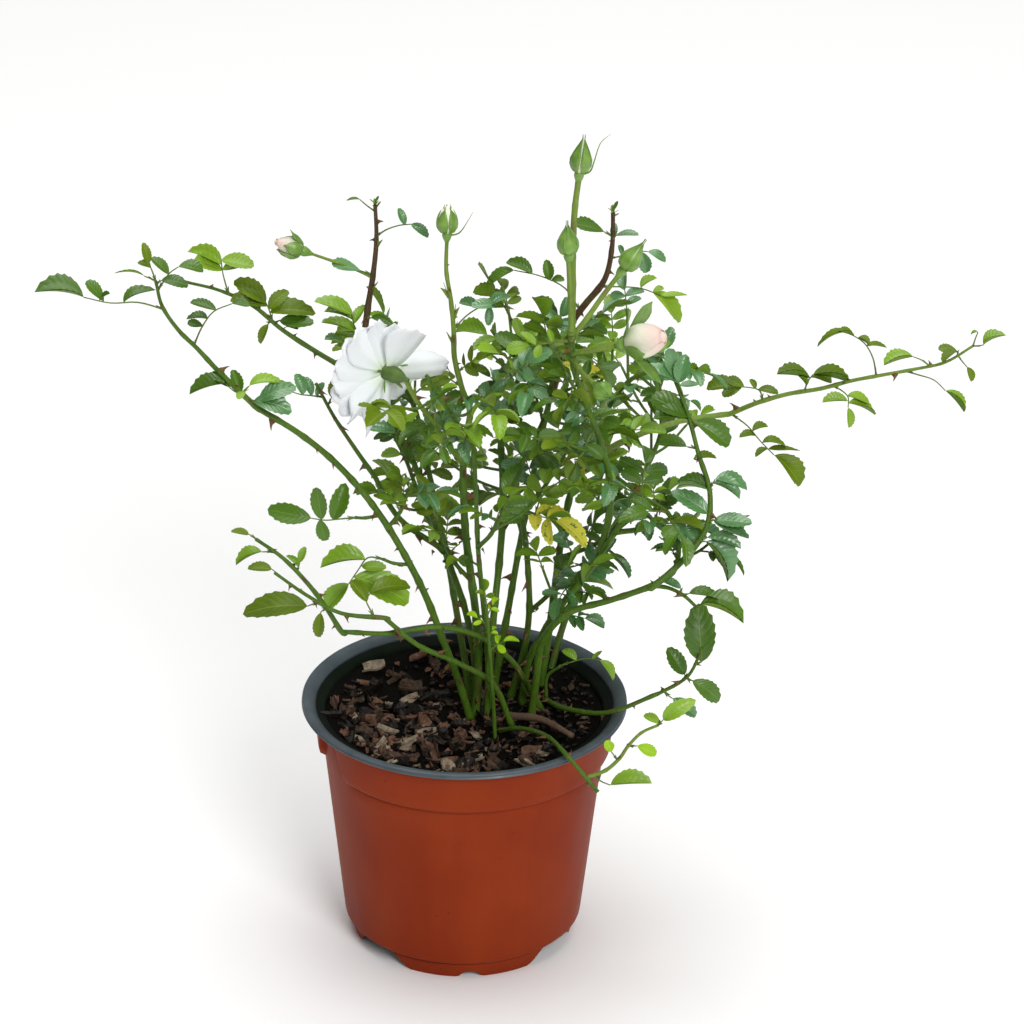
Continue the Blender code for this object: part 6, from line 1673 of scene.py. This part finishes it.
def build_pot():
    """The formed wall, closed inside and out, shaped row by row round the pot."""
    heights = [("foot", h) for h in (0.0, 0.5, 1.4, 3.0, 5.0, 7.0, 8.4, 9.0, 9.3, 9.8, 10.1, 10.4,
                                     10.7, 11.2, 12.0, 13.5, 16.0, 20.0)]
    heights += [("wall", 20.0 + (COLLAR_LOW - 22.0) * k / 14) for k in range(1, 15)]
    heights += [("edge", h) for h in (-1.2, -0.5, -0.1, 0.2, 0.5, 0.9, 1.4, 2.0, 3.0)]
    heights += [("over", k / 6) for k in range(1, 7)]
    outer_rows = len(heights)
    bm = bmesh.new()
    ring = [bm.verts.new((0.0, -(0.05 + 0.0001 * k), k * 0.001)) for k in range(outer_rows)]
    edges = [bm.edges.new(pair) for pair in zip(ring, ring[1:])]
    bmesh.ops.spin(bm, geom=ring + edges, cent=(0, 0, 0), axis=(0, 0, 1), angle=tau,
                   steps=POT_STEPS, use_merge=True)
    bmesh.ops.remove_doubles(bm, verts=bm.verts, dist=0.00001)
    top = LIP_TOP - 3.4
    for vert in bm.verts:
        turn = from_front(vert.co.x, vert.co.y)
        kind, value = heights[round(vert.co.z / MM)]
        edge = collar_edge(turn)
        if kind == "foot":
            cut = arch_height(turn)
            height = value if value > cut + 0.6 else cut + 0.05 * value
            radius = wall_radius(height)
        elif kind == "wall":
            height = value
            radius = wall_radius(height)
        elif kind == "edge":
            height = edge + value
            radius = wall_radius(min(height, COLLAR_LOW + 8))
            radius += (COLLAR_STEP + 1.2) * smooth_step(value, -0.6, 2.6)
            radius -= 0.7 * smooth_step(value, -1.6, -0.5) * (1 - smooth_step(value, -0.5, 0.6))
            radius += COLLAR_FLARE * (height - COLLAR_LOW) / (top - COLLAR_LOW) * 0.5
        else:
            start = edge + 3.0
            height = start + (top - start) * value
            radius = wall_radius(COLLAR_LOW) + COLLAR_STEP + 1.2
            radius += COLLAR_FLARE * (height - COLLAR_LOW) / (top - COLLAR_LOW)
        angle = radians(turn)
        waver = 0.12 * noise.noise(Vector((sin(angle) * 2, cos(angle) * 2, height / 60)))
        radius += waver
        vert.co = Vector((sin(angle) * radius, -cos(angle) * radius, height)) * MM
    bmesh.ops.recalc_face_normals(bm, faces=bm.faces)
    bm.normal_update()  # without this the side that the wall thickens to is left to chance
    middle = bm.faces[:][0]
    if middle.normal.dot(middle.calc_center_median()) < 0:
        bmesh.ops.reverse_faces(bm, faces=bm.faces)
    bmesh.ops.solidify(bm, geom=bm.faces[:], thickness=1.0 * MM)
    lone_piece("pot_wall", pot_finish(), "pot_plastic", "pot", bm)

    turned_ring(LIP_SECTION, "pot_lip", lip_finish())
    lining = plain_finish("pot_lining_dark")
    turned_ring(LINING_SECTION, "pot_lining", lining)

    bm = bmesh.new()
    bmesh.ops.create_circle(bm, cap_ends=True, segments=96, radius=(FOOT_RADIUS - 2.0) * MM)
    bmesh.ops.inset_region(bm, faces=bm.faces[:], thickness=4.0 * MM)
    for vert in bm.verts:
        rim = hypot(vert.co.x, vert.co.y) > (FOOT_RADIUS - 4) * MM
        vert.co.z = (POT_FLOOR + (1.5 if rim else 0.0)) * MM
    bmesh.ops.solidify(bm, geom=bm.faces[:], thickness=1.2 * MM)
    lone_piece("pot_base", lining, "pot_plastic", "pot", bm)


def from_front(x, y):
    """Degrees round the pot from its front."""
    return degrees(atan2(x, -y))


def soil_level(x, y):
    """Height of the potting mix at a spot, in millimetres: uneven, banked to the pot's wall."""
    out = hypot(x, y)
    lumps = 2.6 * noise.noise(Vector((x / 22, y / 22, 3.0))) + 1.3 * noise.noise(
        Vector((x / 8, y / 8, 9.0))) + 0.6 * noise.noise(Vector((x / 3, y / 3, 5.0)))
    mound = 2.2 * exp(-((x - 14) ** 2 + (y - 8) ** 2) / 900)
    bank = 9.5 * smooth_step(out, 46, 82)
    return SOIL_TOP - 2.2 + lumps * 0.8 + mound + bank


SOIL_RINGS = 46
CHIPS = 760


def build_soil():
    """The bed of mix, ring in ring, and the loose bark chips on it."""
    radius = WALL_TOP_RADIUS + 1.0
    bm = bmesh.new()
    bmesh.ops.create_circle(bm, cap_ends=False, segments=120, radius=radius * MM)
    rim = bm.edges[:]
    for k in range(1, SOIL_RINGS):
        fresh, rim = next_ring(bm, rim)
        scale = (1 - k / SOIL_RINGS) / (1 - (k - 1) / SOIL_RINGS)
        bmesh.ops.scale(bm, vec=(scale, scale, 1), verts=fresh)
    bmesh.ops.edgeloop_fill(bm, edges=rim)
    for vert in bm.verts:
        vert.co.z = soil_level(vert.co.x / MM, vert.co.y / MM) * MM
    lone_piece("soil_bed", plain_finish("potting_mix"), "potting_mix", "soil", bm)

    shapes = [chip_shape(f"chip_{k}", 40 + k) for k in range(6)]
    heaps = {kind: Heap("chips_" + kind, plain_finish("chip_" + kind), "potting_mix")
             for kind in ("dark", "brown", "red", "tan")}
    dice = random.Random(5)
    for k in range(CHIPS):
        out, angle = sqrt(dice.random()) * 77, dice.uniform(0, tau)
        x, y = out * cos(angle), out * sin(angle)
        bark_side = dice.random() < smooth_step(-x - 0.7 * y, -45, 45)
        weights = (6, 4, 5, 1.6) if bark_side else (14, 4, 1, 0.5)
        name = dealt(dict(zip(heaps, weights)), dice)
        size = dice.uniform(7, 17) if bark_side and dice.random() < 0.5 else dice.uniform(2.5, 7)
        tilt = Vector((dice.uniform(-0.55, 0.55), dice.uniform(-0.55, 0.55), 1)).normalized()
        heading = dice.uniform(0, tau)
        ahead = Vector((cos(heading), sin(heading), 0))
        ahead = (ahead - tilt * ahead.dot(tilt)).normalized()
        spot = Vector((x, y, soil_level(x, y) + dice.uniform(0.2, 1.8))) * MM
        matrix = place_at(spot, ahead, tilt, size * MM, size * dice.uniform(0.55, 1.05) * MM)
        heaps[name].add(shapes[k % 6], matrix, dice.random())
    for heap in heaps.values():
        heap.finished()


# --- The whole scene ---

# Bark: two shades, the colour of its scars and, where it is dry, its roughness.
BARKS = {
    "green": ((0.034, 0.088, 0.004), (0.095, 0.185, 0.014), (0.12, 0.10, 0.03)),
    "pale": ((0.095, 0.175, 0.014), (0.215, 0.300, 0.050), (0.20, 0.15, 0.06)),
    "brown": ((0.050, 0.024, 0.010), (0.105, 0.060, 0.026), (0.10, 0.11, 0.03)),
    "dead": ((0.10, 0.055, 0.035), (0.20, 0.125, 0.085), (0.05, 0.03, 0.02), 0.8),
}
# Petals: their colour at the foot, middle and edge, and where the middle lies.
PETAL_SHADES = {
    "petal_white": ((0.66, 0.78, 0.52), (0.74, 0.785, 0.78), (0.77, 0.78, 0.81)),
    "petal_cream": ((0.45, 0.60, 0.25), (0.72, 0.78, 0.52), (0.84, 0.84, 0.70)),
    "petal_blush": ((0.56, 0.68, 0.32), (0.76, 0.73, 0.58), (0.78, 0.52, 0.46), 0.55),
}
# Leaflet shapes: fold at the midrib, arch to the tip and twist.
LEAFLET_BENDS = (
    (0.16, 0.12, 0.0), (0.34, 0.22, 0.10), (0.12, 0.36, -0.10), (0.42, 0.08, 0.04),
    (0.24, 0.48, -0.05), (0.12, -0.06, 0.14), (0.50, 0.30, -0.08), (0.26, 0.16, -0.16),
)
# Petal shapes: cup, wave, notch, curl, point and pleat.
PETAL_FORMS = (
    (0.16, 0.050, 0.05, 0.06, 0.0, 0.016), (0.12, 0.060, 0.02, 0.08, 0.15, 0.020),
    (0.22, 0.030, 0.02, 0.04, 0.10, 0.012), (0.20, 0.040, 0.06, 0.06, 0.35, 0.010),
    (0.24, 0.030, 0.00, 0.03, 0.80, 0.010),
)


def plant_heaps():
    """An empty heap for each piece of the plant, by its short name."""
    bark = {kind: bark_finish("bark_" + kind, *shades) for kind, shades in BARKS.items()}
    canes = [name for name in [*CANES, *BOUGHS]
             if name not in PALE_CANES and name != "dead_stub"]
    green = [name for name in SPRAYS if name not in BROWN_STEMS and name not in PALE_STEMS]
    heaps = {
        "cane_green": Heap("canes_green", bark["green"], "green_bark", canes),
        "cane_pale": Heap("canes_pale", bark["pale"], "green_bark", PALE_CANES),
        "cane_dead": Heap("dead_stub_bark", bark["dead"], "dead_wood", ("dead_stub",)),
        "twig_green": Heap("twigs_green", bark["green"], "foliage", green),
        "twig_pale": Heap("twigs_pale", bark["pale"], "foliage", PALE_STEMS),
        "twig_brown": Heap("twigs_brown", bark["brown"], "foliage", BROWN_STEMS),
        "prickles": Heap("prickles", plain_finish("prickle_brown"), "green_bark"),
    }
    for key, piece, finish in (("leaf_stalk", "leaf_stalks", "stalk_green"),
                               ("bud_green", "bud_sepals", "sepal_green"),
                               ("bract", "bracts", "bract_green"),
                               ("hip_green", "bloom_hip", "hip_green"),
                               ("petal_white", "bloom_petals", "petal_white"),
                               ("petal_cream", "bud_petals_cream", "petal_cream"),
                               ("petal_blush", "bud_petals_blush", "petal_blush"),
                               ("stamens", "bloom_stamens", "stamen_yellow")):
        made = petal_finish(finish, *PETAL_SHADES[finish]) if finish in PETAL_SHADES \
            else plain_finish(finish)
        heaps[key] = Heap(piece, made, "foliage")
    for name in LEAF_FINISHES:
        heaps[name] = Heap("leaves_" + name[5:], leaf_finish(name), "foliage")
    return heaps


def build_plant():
    """Plan the whole plant, then fill and finish its heaps."""
    plan = plan_plant()
    grow_finer(plan)
    heaps = plant_heaps()
    shapes = [leaflet_shape(f"leaflet_{k}", *bend) for k, bend in enumerate(LEAFLET_BENDS)]
    unders = [leaflet_shape(f"under_{k}", *bend, under=True)
              for k, bend in enumerate(LEAFLET_BENDS)]
    petals = [petal_shape(f"petal_{k}", *form, 70 + k) for k, form in enumerate(PETAL_FORMS)]
    heaps["sepal"] = leaflet_shape("sepal", 0.1, -0.15, 0.0, teeth=False)
    heaps["stipule"] = stipule_shape()
    build_canes(plan, heaps)
    build_twigs(plan, heaps)
    build_bracts(plan, heaps)
    build_prickles(plan, heaps["prickles"], prickle_shape())
    build_leaves(plan, heaps, shapes, unders)
    for bud in plan.buds:
        build_bud(bud, heaps)
    for bloom in plan.blooms:
        build_bloom(bloom, heaps, petals)
    for name in ("sepal", "stipule"):
        bpy.data.meshes.remove(heaps.pop(name))
    for heap in heaps.values():
        heap.finished()


def build_stage():
    """A pale seamless floor, a wide soft light overhead, a side light and the camera."""
    bm = bmesh.new()
    bmesh.ops.create_grid(bm, x_segments=1, y_segments=1, size=12.0)
    floor = in_scene("floor", shape_of(bm, "floor", outward=False, smooth=False))
    pale = Finish("floor_white", 0.9)
    pale.shader.inputs["Base Color"].default_value = (0.97, 0.97, 0.965, 1)
    floor.data.materials.append(pale.material)

    world = bpy.data.worlds.new("studio")
    bpy.context.scene.world = world
    world.use_nodes = True
    background = world.node_tree.nodes["Background"].inputs
    background["Color"].default_value = (1, 1, 1, 1)
    background["Strength"].default_value = WORLD_STRENGTH

    for name, spot, aim, size, power in STUDIO_LIGHTS:
        light = bpy.data.lights.new(name, "AREA")
        light.shape = "DISK"
        light.size = size
        light.energy = power
        lamp = in_scene(name, light)
        lamp.location = spot
        lamp.rotation_euler = (Vector(aim) - Vector(spot)).to_track_quat("-Z", "Y").to_euler()

    lens = bpy.data.cameras.new("camera")
    lens.lens = LENS
    lens.sensor_width = 36.0
    camera = in_scene("camera", lens)
    pitch, yaw, roll = (radians(value) for value in CAMERA_TURN)
    look = Vector((sin(yaw) * cos(pitch), cos(yaw) * cos(pitch),
                   -sin(pitch)))
    right = look.cross(UP).normalized()
    over = right.cross(look)
    turned = right * cos(roll) + over * sin(roll)
    upright = over * cos(roll) - right * sin(roll)
    axes = Matrix((turned, upright, -look)).transposed().to_4x4()
    camera.matrix_world = Matrix.Translation(CAMERA_PLACE) @ axes
    bpy.context.scene.camera = camera
    bpy.context.scene.view_settings.view_transform = "Standard"


WORLD_STRENGTH = 0.27
# Soft lights: name, place, aim, width and power.
STUDIO_LIGHTS = (
    ("top_light", (0.1, 0.9, 5.0), (0.1, 0.9, 0.0), 4.6, 196.0),
    ("front_light", (1.3, -3.2, 2.5), (0.0, 0.0, 0.2), 1.7, 98.0),
)
LENS = 132.3  # focal length, for a sensor 36 wide
CAMERA_PLACE = (0.0, -1.93705, 1.19299)
CAMERA_TURN = (25.466, 0.7755, 0.8)  # degrees down, to the right and rolled


build_pot()
build_soil()
build_plant()
build_stage()
